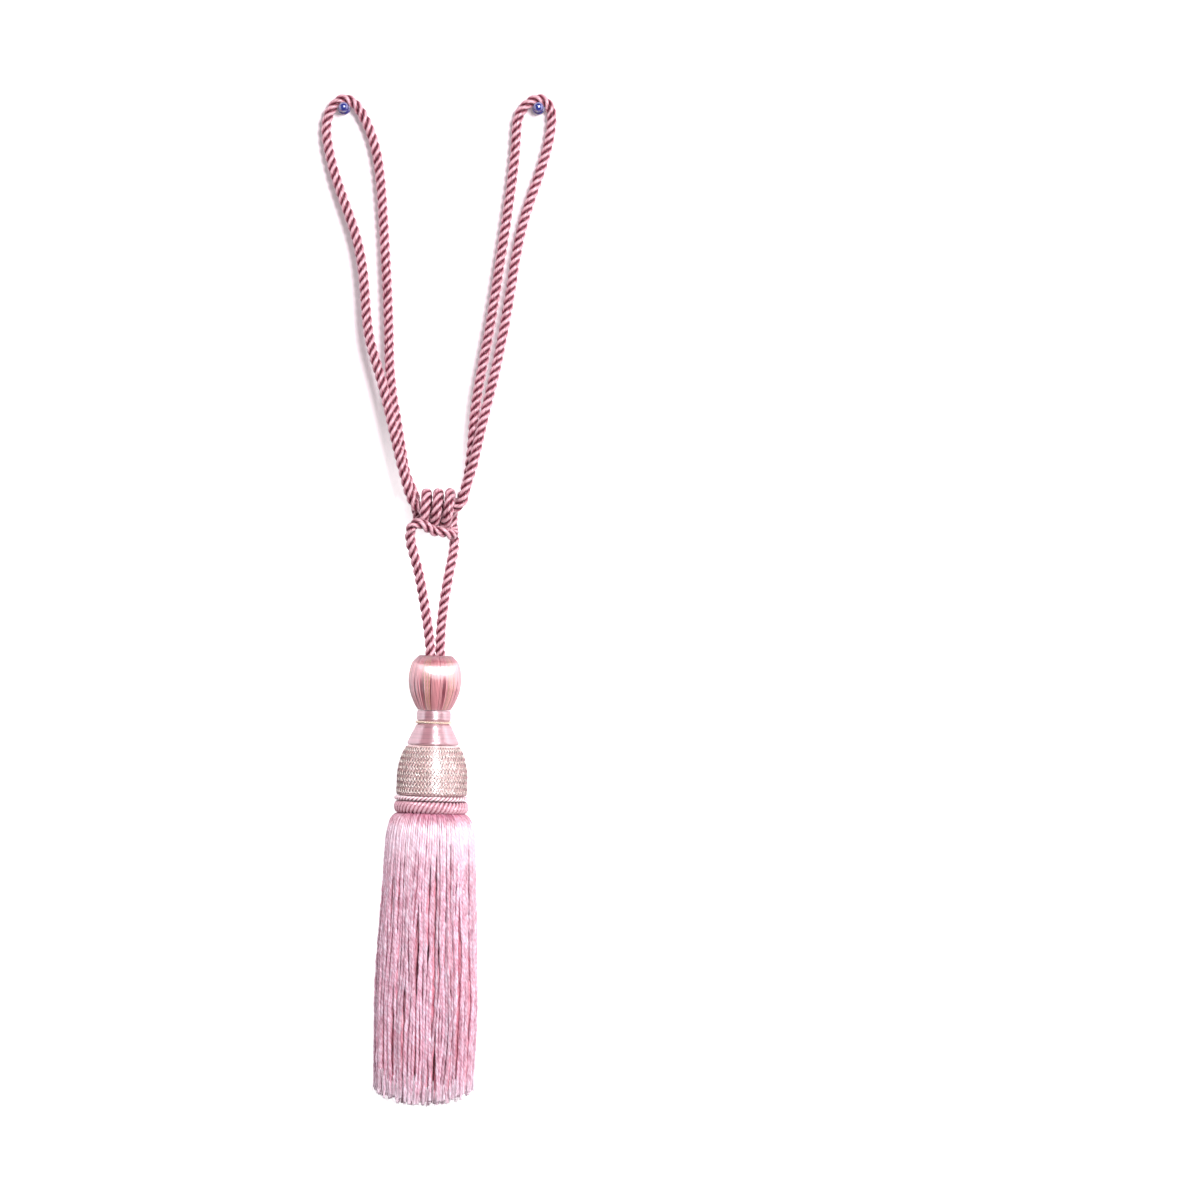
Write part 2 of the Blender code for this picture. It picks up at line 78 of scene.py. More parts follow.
def tube_mesh(name, points, uv, values=None, closed=False):
    """A batch of tubes as one mesh, from points laid out as tube, ring, side and x, y, z, in metres.

    Neighbouring points of neighbouring rings make quads, and a tube that isn't closed on itself gets a
    flat cap at each end. The sides are put in the order that turns the faces outward. uv has one more
    side than points has, and one more ring if closed; values are one number a point, or spread to that.
    """
    tubes, rings, sides, _ = points.shape
    shape = (tubes, rings, sides)
    values = {key: np.broadcast_to(grid, shape) for key, grid in (values or {}).items()}
    along_side = points[:, :-1, 1] - points[:, :-1, 0]
    along_ring = points[:, 1:, 0] - points[:, :-1, 0]
    outward = (points - points.mean(axis=2, keepdims=True))[:, :-1, 0]
    if (np.cross(along_side, along_ring) * outward).sum() < 0.0:
        points = points[:, :, ::-1]
        uv = uv[:, :, ::-1]
        values = {key: grid[:, :, ::-1] for key, grid in values.items()}

    ring, side = np.meshgrid(np.arange(rings if closed else rings - 1), np.arange(sides), indexing="ij")
    corner_ring = np.stack([ring, ring, ring + 1, ring + 1], axis=-1).reshape(-1, 4)
    corner_side = np.stack([side, side + 1, side + 1, side], axis=-1).reshape(-1, 4)
    quads = (corner_ring % rings) * sides + corner_side % sides
    starts = np.arange(tubes)[:, None, None] * rings * sides
    faces = (quads[None] + starts).reshape(-1, 4).tolist()
    order = np.arange(sides)
    if not closed:
        first_caps = order[::-1] + starts[:, 0]
        last_caps = (rings - 1) * sides + order + starts[:, 0]
        faces += first_caps.tolist() + last_caps.tolist()

    mesh = bpy.data.meshes.new(name)
    mesh.from_pydata(points.reshape(-1, 3), [], faces)
    corners = [uv[:, corner_ring, corner_side].reshape(-1, 2)]
    if not closed:
        corners += [uv[:, 0, order[::-1]].reshape(-1, 2), uv[:, rings - 1, order].reshape(-1, 2)]
    layer = mesh.uv_layers.new(name="UVMap")
    layer.data.foreach_set("uv", np.concatenate(corners).astype(np.float32).ravel())
    for key, grid in values.items():
        flat = grid.astype(np.float32).ravel()
        mesh.attributes.new(key, "FLOAT", "POINT").data.foreach_set("value", flat)
    mesh.shade_smooth()
    return mesh


def add_piece(name, mesh, material, slot, *nodes):
    """Puts a finished mesh into the scene, riding on the part's one body in the place of its CAD nodes."""
    piece = bpy.data.objects.new(name, mesh)
    mesh.materials.append(material)
    bpy.context.scene.collection.objects.link(piece)
    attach(piece, "root")
    if nodes:
        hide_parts(*nodes)
    return piece


def uv_grid(along, around):
    """A UV grid of tube, ring and side from what changes along the tube and what changes around it."""
    along, around = np.broadcast_arrays(along, around)
    return np.stack([along, around], axis=-1)


def grown(value, start, run):
    """How far a value has come from the start over the run, held between 0 and 1."""
    return np.clip((value - start) / run, 0.0, 1.0)


# ---------------------------------------------------------------- nodes


def add_node(tree, kind, feeds=None, **settings):
    """Adds a shader node, sets it, and feeds its inputs with values or with other nodes' outputs."""
    made = tree.nodes.new(kind)
    for key, value in settings.items():
        setattr(made, key, value)
    for key, value in (feeds or {}).items():
        if isinstance(value, bpy.types.NodeSocket):
            tree.links.new(value, made.inputs[key])
        else:
            made.inputs[key].default_value = value
    return made


def maths(tree, operation, first, second=0.5, third=0.5):
    """One operation on up to three numbers. Those that it doesn't need are left unused."""
    return add_node(tree, "ShaderNodeMath", {0: first, 1: second, 2: third}, operation=operation).outputs[0]


def mixed(tree, share, first, second):
    """Two colours, mixed by the second's share."""
    feeds = {"Factor": share, 6: first, 7: second}
    return add_node(tree, "ShaderNodeMix", feeds, data_type="RGBA").outputs[2]


def ranged(tree, value, low, high, to_low=0.0, to_high=1.0):
    """A value's place between low and high, eased at both, brought between two others."""
    feeds = {"Value": value, "From Min": low, "From Max": high, "To Min": to_low, "To Max": to_high}
    return add_node(tree, "ShaderNodeMapRange", feeds, interpolation_type="SMOOTHSTEP").outputs["Result"]


def point_value(tree, key):
    return add_node(tree, "ShaderNodeAttribute", attribute_name=key).outputs["Fac"]


def new_group(name, inputs, outputs):
    """A node group with named sockets: inputs have a kind and a first value, outputs a kind."""
    group = bpy.data.node_groups.new(name, "ShaderNodeTree")
    for key, (kind, value) in inputs.items():
        socket = group.interface.new_socket(key, in_out="INPUT", socket_type=kind)
        socket.default_value = value
    for key, kind in outputs.items():
        group.interface.new_socket(key, in_out="OUTPUT", socket_type=kind)
    return group, group.nodes.new("NodeGroupInput").outputs, group.nodes.new("NodeGroupOutput").inputs


def use_group(tree, group, feeds):
    return add_node(tree, "ShaderNodeGroup", feeds, node_tree=group).outputs


def new_material(name, roughness, sockets=None, specular=0.5):
    """A material's tree and its shader, with what is the same all over the surface set on the shader."""
    material = bpy.data.materials.new(name)
    material.use_nodes = True
    tree = material.node_tree
    shader = tree.nodes["Principled BSDF"]
    shader.inputs["Roughness"].default_value = roughness
    shader.inputs["Specular IOR Level"].default_value = specular
    for key, value in (sockets or {}).items():
        shader.inputs[key].default_value = value
    return material, tree, shader.inputs


def bumped(tree, height, strength, distance):
    """A normal from a height that is given as a share of the distance."""
    feeds = {"Height": height, "Strength": strength, "Distance": distance}
    return add_node(tree, "ShaderNodeBump", feeds).outputs["Normal"]


def own_uv(tree):
    return add_node(tree, "ShaderNodeUVMap", uv_map="UVMap").outputs["UV"]


# ---------------------------------------------------------------- shared finishes

GROOVE_TO_FLANK = (0.06, 0.50)  # the depths over which painted shade in the grooves gives way to the dye, and the dye to the ridge's paler dye with a painted highlight
FLANK_TO_RIDGE = (0.44, 0.96)
TONE_VALUES = (0.80, 1.12)
FIBRES_PARTED = (0.62, 0.36)

SHADED_DYE, shaded_dye_in, shaded_dye_out = new_group(
    "shaded_dye_depth",
    {
        "Depth": ("NodeSocketFloat", 1.0),
        "Tone": ("NodeSocketFloat", 0.5),
        "Groove": ("NodeSocketColor", (0.1, 0.0, 0.0, 1.0)),
        "Flank": ("NodeSocketColor", (0.5, 0.2, 0.2, 1.0)),
        "Ridge": ("NodeSocketColor", (0.8, 0.5, 0.5, 1.0)),
    },
    {"Color": "NodeSocketColor"},
)


def wire_shaded_dye_depth():
    """Colour by depth, with painted shade and highlight: painted shade darkens the grooves, the flanks take
    the dye, and the ridges take a paler dye with a painted highlight.

    Tone, from 0 to 1, makes one thread darker or lighter than the next.
    """
    tree = SHADED_DYE
    on_flank = ranged(tree, shaded_dye_in["Depth"], *GROOVE_TO_FLANK)
    on_ridge = ranged(tree, shaded_dye_in["Depth"], *FLANK_TO_RIDGE)
    flank = mixed(tree, on_flank, shaded_dye_in["Groove"], shaded_dye_in["Flank"])
    ridge = mixed(tree, on_ridge, flank, shaded_dye_in["Ridge"])
    value = ranged(tree, shaded_dye_in["Tone"], 0.0, 1.0, *TONE_VALUES)
    toned = add_node(tree, "ShaderNodeHueSaturation", {"Color": ridge, "Value": value})
    tree.links.new(toned.outputs["Color"], shaded_dye_out["Color"])


wire_shaded_dye_depth()


def shaded_dye(tree, depth, tone, shaded_dyes):
    """The yarn's colour at a depth, from three colours: the groove's painted shade, the flank's dye and the
    ridge's paler dye with a painted highlight.
    """
    groove, flank, ridge = shaded_dyes
    feeds = {"Depth": depth, "Tone": tone, "Groove": groove, "Flank": flank, "Ridge": ridge}
    return use_group(tree, SHADED_DYE, feeds)["Color"]


FIBRES, fibres_in, fibres_out = new_group(
    "yarn_fibres",
    {
        "UV": ("NodeSocketVector", (0.0, 0.0, 0.0)),
        "Along": ("NodeSocketFloat", 100.0),
        "Across": ("NodeSocketFloat", 40.0),
    },
    {"Height": "NodeSocketFloat", "Shade": "NodeSocketFloat"},
)


def wire_yarn_fibres():
    """Fine fibres: noise that is drawn out along the thread, as fine across it as Across says.

    Height is for a bump, and Shade, from 0 to 1, is where the fibres part and look darker.
    """
    tree = FIBRES
    parts = add_node(tree, "ShaderNodeSeparateXYZ", {"Vector": fibres_in["UV"]}).outputs
    along = maths(tree, "MULTIPLY", parts["X"], fibres_in["Along"])
    across = maths(tree, "MULTIPLY", parts["Y"], fibres_in["Across"])
    place = add_node(tree, "ShaderNodeCombineXYZ", {"X": along, "Y": across}).outputs["Vector"]
    noise = add_node(
        tree, "ShaderNodeTexNoise", {"Vector": place, "Scale": 1.0, "Detail": 2.0}, noise_dimensions="2D"
    )
    tree.links.new(noise.outputs["Fac"], fibres_out["Height"])
    tree.links.new(ranged(tree, noise.outputs["Fac"], *FIBRES_PARTED), fibres_out["Shade"])


wire_yarn_fibres()

# ---------------------------------------------------------------- the cord

LEG_AND_LOWER_PASS = (
    (0.0566, -0.0286, -0.3558),
    (0.0556, -0.0284, -0.3418),
    (0.0531, -0.0280, -0.3238),
    (0.0502, -0.0285, -0.3066),
    (0.0466, -0.0297, -0.2906),
    (0.0438, -0.0314, -0.2800),
    (0.0435, -0.0332, -0.2725),
    (0.0452, -0.0346, -0.2686),
    (0.0488, -0.0356, -0.2672),
    (0.0538, -0.0347, -0.2693),
    (0.0580, -0.0315, -0.2719),
    (0.0630, -0.0306, -0.2726),
    (0.0676, -0.0280, -0.2738),
    (0.0704, -0.0220, -0.2740),
    (0.0706, -0.0152, -0.2696),
)
LEFT_LOOP = (
    (0.0452, -0.0130, -0.2483),
    (0.0414, -0.0150, -0.2394),
    (0.0381, -0.0170, -0.2253),
    (0.0342, -0.0153, -0.2010),
    (0.0304, -0.0130, -0.1754),
    (0.0290, -0.0108, -0.1420),
    (0.0266, -0.0083, -0.0922),
    (0.0238, -0.0073, -0.0500),
    (0.0170, -0.0067, -0.0154),
    (0.0115, -0.0065, -0.0038),
    (0.0061, -0.0065, 0.0032),
    (0.0003, -0.0065, 0.0056),
    (-0.0061, -0.0065, 0.0016),
    (-0.0106, -0.0067, -0.0077),
    (-0.0099, -0.0072, -0.0256),
    (-0.0032, -0.0084, -0.0506),
    (0.0090, -0.0107, -0.0870),
    (0.0141, -0.0133, -0.1242),
    (0.0166, -0.0153, -0.1472),
    (0.0237, -0.0185, -0.1728),
    (0.0328, -0.0236, -0.2092),
    (0.0410, -0.0266, -0.2419),
    (0.0444, -0.0262, -0.2520),
)
KNOT_CORE = (
    (0.0479, -0.0246, -0.2572),
    (0.0525, -0.0220, -0.2589),
    (0.0607, -0.0200, -0.2582),
    (0.0678, -0.0225, -0.2573),
    (0.0728, -0.0250, -0.2566),
)
RIGHT_LOOP = (
    (0.0764, -0.0262, -0.2530),
    (0.0786, -0.0264, -0.2451),
    (0.0816, -0.0262, -0.2355),
    (0.0874, -0.0242, -0.2120),
    (0.0970, -0.0187, -0.1715),
    (0.1072, -0.0127, -0.1178),
    (0.1155, -0.0098, -0.0735),
    (0.1251, -0.0081, -0.0442),
    (0.1309, -0.0072, -0.0250),
    (0.1334, -0.0067, -0.0090),
    (0.1318, -0.0065, 0.0010),
    (0.1254, -0.0065, 0.0056),
    (0.1187, -0.0065, 0.0029),
    (0.1133, -0.0065, -0.0032),
    (0.1107, -0.0067, -0.0179),
    (0.1083, -0.0072, -0.0440),
    (0.1014, -0.0087, -0.0922),
    (0.0925, -0.0114, -0.1485),
    (0.0838, -0.0153, -0.2010),
    (0.0822, -0.0168, -0.2214),
    (0.0803, -0.0155, -0.2355),
)
BACK_PASS_AND_LEG = (
    (0.0780, -0.0106, -0.2454),
    (0.0746, -0.0062, -0.2516),
    (0.0714, -0.0046, -0.2568),
    (0.0696, -0.0048, -0.2630),
    (0.0700, -0.0064, -0.2694),
    (0.0710, -0.0094, -0.2760),
    (0.0710, -0.0130, -0.2830),
    (0.0688, -0.0180, -0.2950),
    (0.0659, -0.0210, -0.3110),
    (0.0636, -0.0225, -0.3270),
    (0.0625, -0.0232, -0.3418),
    (0.0623, -0.0234, -0.3558),
)
# The wraps, from their right end to their left
WRAP_TURNS = 3
WRAP_POINTS = 14
WRAP_LEFT_END = 0.0492
WRAP_PITCH = 0.0075
WRAP_BACK_SHIFT = 0.0024  # how far left of its front run each wrap passes at the back
WRAP_RADIUS = 0.0099
KNOT_DEPTH = -0.0220
KNOT_HEIGHT = -0.2576

CORD_DIAMETER = 0.0069
CORD_LENGTH = 1.567
CORD_LAY = 0.0175
CORD_RINGS = 2850
CORD_SIDES = 30
PLIES = 3
PLY_RADIUS = 0.00172
PLY_OFFSET = CORD_DIAMETER / 2.0 - PLY_RADIUS
CORD_GLEAM = {"IOR": 1.7, "Specular Tint": (1.0, 0.66, 0.74, 1.0)}
# groove, flank and ridge colours: painted shade, the dye, and a paler dye with a painted highlight
CORD_SHADED_DYES = ((0.030, 0.002, 0.006, 1.0), (0.23, 0.038, 0.066, 1.0), (0.76, 0.45, 0.51, 1.0))


def cord_route():
    """The route's points: listed stretches, and wraps that go round a level axis as they go left."""
    turn = np.arange(WRAP_TURNS * WRAP_POINTS, -1, -1) / WRAP_POINTS
    wraps = np.stack(
        [
            WRAP_LEFT_END + WRAP_PITCH * turn - WRAP_BACK_SHIFT * (1.0 + np.cos(TURN * turn)) / 2.0,
            KNOT_DEPTH + WRAP_RADIUS * np.cos(TURN * turn),
            KNOT_HEIGHT - WRAP_RADIUS * np.sin(TURN * turn),
        ],
        axis=1,
    )
    return np.concatenate([LEG_AND_LOWER_PASS, wraps, LEFT_LOOP, KNOT_CORE, RIGHT_LOOP, BACK_PASS_AND_LEG])


def smooth_curve(points, samples):
    """A natural cubic spline through points, its bends from one set of equations, read at even lengths."""
    points = np.asarray(points, dtype=float)
    knots = np.concatenate(([0.0], np.cumsum(np.linalg.norm(np.diff(points, axis=0), axis=1))))
    spans = np.diff(knots)
    count = len(points)
    slopes = np.diff(points, axis=0) / spans[:, None]
    inner = np.arange(1, count - 1)
    system = np.eye(count)
    system[inner, inner - 1] = spans[:-1]
    system[inner, inner] = 2.0 * (spans[:-1] + spans[1:])
    system[inner, inner + 1] = spans[1:]
    right_side = np.zeros_like(points)
    right_side[inner] = 6.0 * np.diff(slopes, axis=0)
    bends = np.linalg.solve(system, right_side)
    lengths = np.linspace(0.0, knots[-1], samples * 8)
    span = np.clip(np.searchsorted(knots, lengths) - 1, 0, count - 2)
    width = spans[span][:, None]
    after = ((lengths - knots[span]) / spans[span])[:, None]
    before = 1.0 - after
    bend = (before**3 - before) * bends[span] + (after**3 - after) * bends[span + 1]
    dense = before * points[span] + after * points[span + 1] + bend * width**2 / 6.0
    travelled = np.concatenate(([0.0], np.cumsum(np.linalg.norm(np.diff(dense, axis=0), axis=1))))
    even = np.linspace(0.0, travelled[-1], samples)
    return np.stack([np.interp(even, travelled, column) for column in dense.T], axis=1)


def carried_frames(path):
    """Two directions across a path at each of its points, carried along it without turning about it."""
    tangents = np.gradient(path, axis=0)
    tangents /= np.linalg.norm(tangents, axis=1)[:, None]
    across = np.empty_like(path)
    first = np.cross(tangents[0], (0.0, 1.0, 0.0))
    across[0] = first / np.linalg.norm(first)
    for ring in range(1, len(path)):
        flat = across[ring - 1] - tangents[ring] * (across[ring - 1] @ tangents[ring])
        across[ring] = flat / np.linalg.norm(flat)
    return across, np.cross(tangents, across)


def ply_reach(angle, plies, ply_radius, ply_offset):
    """How far the outline of round plies, laid round one centre, lies from it at each angle.

    Inside a ply's own sector it is the far side of a circle whose centre is ply_offset out. The second
    value says how high on its ply a point is, from 0 in the groove to 1 on the ridge.
    """
    sector = TURN / plies
    swing = (angle + sector / 2.0) % sector - sector / 2.0
    reach = ply_offset * np.cos(swing) + np.sqrt(ply_radius**2 - (ply_offset * np.sin(swing)) ** 2)
    lowest = ply_offset * math.cos(sector / 2.0) + math.sqrt(
        ply_radius**2 - (ply_offset * math.sin(sector / 2.0)) ** 2
    )
    return reach, (reach - lowest) / (ply_offset + ply_radius - lowest)


def cord_mesh(path):
    """Three plies laid right-handed: at each ring the plies' outline has turned with the length."""
    across, beside = carried_frames(path)
    around = np.arange(CORD_SIDES + 1) * TURN / CORD_SIDES
    travelled = np.linspace(0.0, CORD_LENGTH, len(path))
    turned = around[None, :] + travelled[:, None] * TURN / CORD_LAY
    reach, depth = ply_reach(around[:-1], PLIES, PLY_RADIUS, PLY_OFFSET)
    reach = reach[None, :, None]
    facing = turned[:, :-1, None]
    rings = path[:, None] + reach * (
        np.cos(facing) * across[:, None] + np.sin(facing) * beside[:, None]
    )
    uv = uv_grid(travelled[None, :, None], turned[None] / TURN)
    return tube_mesh("twisted_cord", rings[None], uv=uv, values={"depth": depth})


def cord_material():
    """Shiny rayon yarns that run along the cord, pale on the plies, with dark burgundy painted shade between
    them.
    """
    material, tree, shader = new_material("cord_rayon", 0.30, CORD_GLEAM)
    fibres = use_group(tree, FIBRES, {"UV": own_uv(tree), "Along": 60.0, "Across": 44.0})
    # the deeper a point lies between the plies, the darker its painted shade
    height = maths(tree, "POWER", point_value(tree, "depth"), 0.80)
    wear_and_shade = maths(tree, "MULTIPLY_ADD", fibres["Shade"], -0.24, height)
    tree.links.new(shaded_dye(tree, wear_and_shade, fibres["Height"], CORD_SHADED_DYES), shader["Base Color"])
    tree.links.new(bumped(tree, fibres["Height"], 0.45, 0.00025), shader["Normal"])
    return material


cord_path = smooth_curve(cord_route(), CORD_RINGS)
cord = add_piece("twisted_cord", cord_mesh(cord_path), cord_material(), "cord_rayon", "cord")

# ---------------------------------------------------------------- the tassel's axis

TASSEL_TOP = (0.0595, -0.0260, -0.3514)
TASSEL_LEAN = math.radians(1.65)


def on_tassel(points):
    """Brings points from the tassel's own axis, in millimetres with the drop as -z, to the part's frame."""
    x, y, z = np.moveaxis(points, -1, 0) * MM
    leaned = (
        x * math.cos(TASSEL_LEAN) + z * math.sin(TASSEL_LEAN),
        y,
        z * math.cos(TASSEL_LEAN) - x * math.sin(TASSEL_LEAN),
    )
    return np.stack(leaned, axis=-1) + np.array(TASSEL_TOP)


def turned_points(radius, drop, angle):
    """Points round the axis: out by the radius at the angle, and down by the drop."""
    radius, drop, angle = np.broadcast_arrays(radius, drop, angle)
    return np.stack([radius * np.cos(angle), radius * np.sin(angle), -drop], axis=-1)


def thread_ridge(turns, sharpness=0.5):
    """The round back of threads laid side by side: 0 between two of them, 1 on the middle of each."""
    return np.abs(np.sin(math.pi * turns)) ** sharpness


# What all the satin threads of the head share: a strong pale gleam that is drawn out across the threads
SATIN = {
    "IOR": 3.2,
    "Specular Tint": (1.0, 0.95, 0.98, 1.0),
    "Anisotropic": 0.97,
    "Anisotropic Rotation": 0.25,
    "Coat Weight": 0.6,
    "Coat Roughness": 0.14,
    "Coat IOR": 2.2,
}


def laid_along_uv(tree, shader):
    """Tells the shader that the threads run along U, so that its gleam lies across them."""
    tangent = add_node(tree, "ShaderNodeTangent", direction_type="UV_MAP", uv_map="UVMap")
    tree.links.new(tangent.outputs["Tangent"], shader["Tangent"])


# ---------------------------------------------------------------- the head's upper mould

BALL_PROFILE = (
    (8.5, 5.0),
    (8.4, 2.4),
    (8.7, 0.9),
    (9.8, 0.2),
    (12.0, 1.5),
    (14.7, 4.5),
    (16.2, 8.6),
    (16.9, 13.8),
    (16.8, 18.5),
    (15.8, 24.0),
    (13.9, 29.0),
    (11.6, 33.4),
    (10.3, 35.1),
)
BALL_ROWS = 56
BALL_THREADS = 108
BALL_STEPS_PER_THREAD = 5
BALL_RIDGE = 0.16
BALL_SHADED = 6.5  # how far down from its top the ball is painted darker, as painted shade under the cord
PLEAT_SHARE = 0.24
PLEAT_DEPTH = 0.36
PLEATS_START = {"start": 13.0, "run": 6.0}
PLEATS_EASE = {"start": 24.0, "run": 9.0}
GOLD_LIFT = 0.06
GOLD_BANDS = 6
GOLD_LAY = 2.6
FIRST_GOLD_BAND = math.radians(-53.0)
# groove, flank and ridge colours: painted shade, the dye, and a paler dye with a painted highlight
ROSE_SHADED_DYES = ((0.16, 0.016, 0.032, 1.0), (0.50, 0.115, 0.155, 1.0), (0.87, 0.35, 0.38, 1.0))
GOLD_SHADED_DYES = ((0.12, 0.06, 0.03, 1.0), (0.40, 0.23, 0.10, 1.0), (0.60, 0.38, 0.17, 1.0))


def ball_mesh():
    """A turned form whose radius is drawn in between upright threads, with gold ones in fours.

    Some threads part into pleats, dented in and painted darker as painted shade, deepest a little below
    the ball's middle. The threads wander round by sines of the drop and the angle, and are painted
    darker at the top, as painted shade of the cord.
    """
    profile = smooth_curve(BALL_PROFILE, BALL_ROWS)
    radius, drop = profile[:, 0, None], profile[:, 1, None]
    columns = BALL_THREADS * BALL_STEPS_PER_THREAD
    around = np.arange(columns + 1) / columns
    angle = around[:-1] * TURN
    thread = np.arange(columns) // BALL_STEPS_PER_THREAD
    ridge = thread_ridge(around[:-1] * BALL_THREADS)

    lowered = grown(drop, **PLEATS_START) * (1.0 - 0.5 * grown(drop, **PLEATS_EASE))
    parted = dice.random(BALL_THREADS)[thread] < PLEAT_SHARE
    pleat = parted * dice.uniform(0.5, 1.0, BALL_THREADS)[thread] * lowered
    height = dice.uniform(-0.16, 0.10, BALL_THREADS)[thread]
    tone = dice.random(BALL_THREADS)[thread]
    to_next = BALL_THREADS // GOLD_BANDS
    from_band = (thread - int(FIRST_GOLD_BAND / TURN * BALL_THREADS) + to_next // 2) % to_next - to_next // 2
    gold = np.isin(np.abs(from_band), (0, 2)).astype(float)

    # painted shade at the top, where the cord shades the ball
    shaded = 0.80 * np.clip(1.0 - drop / BALL_SHADED, 0.0, 1.0)
    wander = 0.010 * np.sin(drop * 0.21 + 5.0 * angle) * np.sin(math.pi * np.clip(drop / 35.0, 0.0, 1.0))
    groove = BALL_RIDGE * (1.0 - ridge) * (1.0 + 1.6 * pleat)
    out = radius + height + GOLD_LIFT * gold - groove - PLEAT_DEPTH * pleat
    points = on_tassel(turned_points(out, drop, angle + wander))
    values = {
        # the pleats and the top are painted darker, as painted shade
        "depth": np.clip(ridge - 0.85 * pleat - shaded, 0.0, 1.0),
        "tone": tone,
        "gold": gold,
    }
    uv = uv_grid(drop[None] * MM, around[None, None] * BALL_THREADS)
    return tube_mesh("ball_threads", points[None], uv=uv, values=values)


def ball_material():
    """Upright satin threads in rose, and gold ones that are plied with rose, so that they come in dashes."""
    material, tree, shader = new_material("ball_satin", 0.30, SATIN)
    laid_along_uv(tree, shader)
    fibres = use_group(tree, FIBRES, {"UV": own_uv(tree), "Along": 90.0, "Across": 5.0})
    depth = point_value(tree, "depth")
    tone = point_value(tree, "tone")
    rose = shaded_dye(tree, depth, tone, ROSE_SHADED_DYES)
    gold = shaded_dye(tree, depth, tone, GOLD_SHADED_DYES)
    parts = add_node(tree, "ShaderNodeSeparateXYZ", {"Vector": own_uv(tree)}).outputs
    plied = maths(tree, "MULTIPLY_ADD", parts["X"], 1000.0 / GOLD_LAY, parts["Y"])
    dash = ranged(tree, maths(tree, "SINE", maths(tree, "MULTIPLY", plied, TURN)), -0.7, -0.1)
    share = maths(tree, "MULTIPLY", point_value(tree, "gold"), dash)
    tree.links.new(mixed(tree, share, rose, gold), shader["Base Color"])
    tree.links.new(bumped(tree, fibres["Height"], 0.35, 0.0002), shader["Normal"])
    return material


add_piece("ball_threads", ball_mesh(), ball_material(), "ball_satin", "head_ball")

# ---------------------------------------------------------------- neck, flare and gold ring

NECK_PROFILE = (
    (10.3, 35.5),
    (10.8, 36.6),
    (10.9, 39.6),
    (10.8, 41.3),
    (10.0, 42.3),
    (10.0, 43.7),
    (11.1, 44.8),
    (12.2, 47.0),
    (14.2, 50.8),
    (15.9, 54.4),
    (16.6, 56.5),
    (16.1, 57.3),
)
WOUND_SIDES = 96
NECK_TURNS = 46
NECK_STEPS_PER_TURN = 4
NECK_RIDGE = 0.07
# groove, flank and ridge colours: painted shade, the dye, and a paler dye with a painted highlight
NECK_SHADED_DYES = ((0.22, 0.075, 0.10, 1.0), (0.40, 0.165, 0.205, 1.0), (0.52, 0.25, 0.295, 1.0))
WOUND_LIFT = 0.03
WOUND_UV_RADIUS = 0.016  # the radius, in metres, at which a winding's fibres are as long as they should be


def wound_mesh(name, profile, turns, steps_per_turn, ridge_height):
    """A turned form under thread that is wound round it: its ridges climb one thread in each turn."""
    rows = turns * steps_per_turn + 1
    line = smooth_curve(profile, rows)
    radius, drop = line[:, 0, None], line[:, 1, None]
    around = np.arange(WOUND_SIDES + 1) / WOUND_SIDES
    wound = np.arange(rows)[:, None] / steps_per_turn + around[None, :-1]
    ridge = thread_ridge(wound)
    thread = np.floor(wound).astype(int)
    lift = dice.uniform(-WOUND_LIFT, WOUND_LIFT, turns + 2)[thread]
    out = radius - ridge_height * (1.0 - ridge) + lift
    points = on_tassel(turned_points(out, drop, around[:-1] * TURN))
    values = {"depth": ridge, "tone": dice.random(turns + 2)[thread]}
    along = around[None, None] * TURN * WOUND_UV_RADIUS
    uv = uv_grid(along, np.arange(rows)[None, :, None] / steps_per_turn)
    return tube_mesh(name, points[None], uv=uv, values=values)


def wound_material(name, roughness, shaded_dyes):
    """Satin thread wound round, so that a light draws one streak down it."""
    material, tree, shader = new_material(name, roughness, SATIN)
    laid_along_uv(tree, shader)
    fibres = use_group(tree, FIBRES, {"UV": own_uv(tree), "Along": 90.0, "Across": 4.0})
    # colour painted darker between the windings, as painted shade, from their depth
    colour = shaded_dye(tree, point_value(tree, "depth"), point_value(tree, "tone"), shaded_dyes)
    tree.links.new(colour, shader["Base Color"])
    tree.links.new(bumped(tree, fibres["Height"], 0.3, 0.00015), shader["Normal"])
    return material


neck_satin = wound_material("neck_satin", 0.36, NECK_SHADED_DYES)
neck_winding = wound_mesh("neck_winding", NECK_PROFILE, NECK_TURNS, NECK_STEPS_PER_TURN, NECK_RIDGE)
add_piece("neck_winding", neck_winding, neck_satin, "neck_satin", "head_neck")


ROPE_PLY = 0.55  # a ply's radius, as a share of its rope's
NECK_ROPE = {
    "centre_radius": 11.0, "drop": 43.0, "half_depth": 0.75, "half_height": 0.75,
    "plies": 2, "turns": 26, "rings": 208, "sides": 12,
}
# groove, flank and ridge colours: painted shade, the dye, and a paler dye with a painted highlight
THREAD_GOLD_SHADED_DYES = ((0.45, 0.28, 0.18, 1.0), (0.78, 0.62, 0.45, 1.0), (0.95, 0.86, 0.70, 1.0))


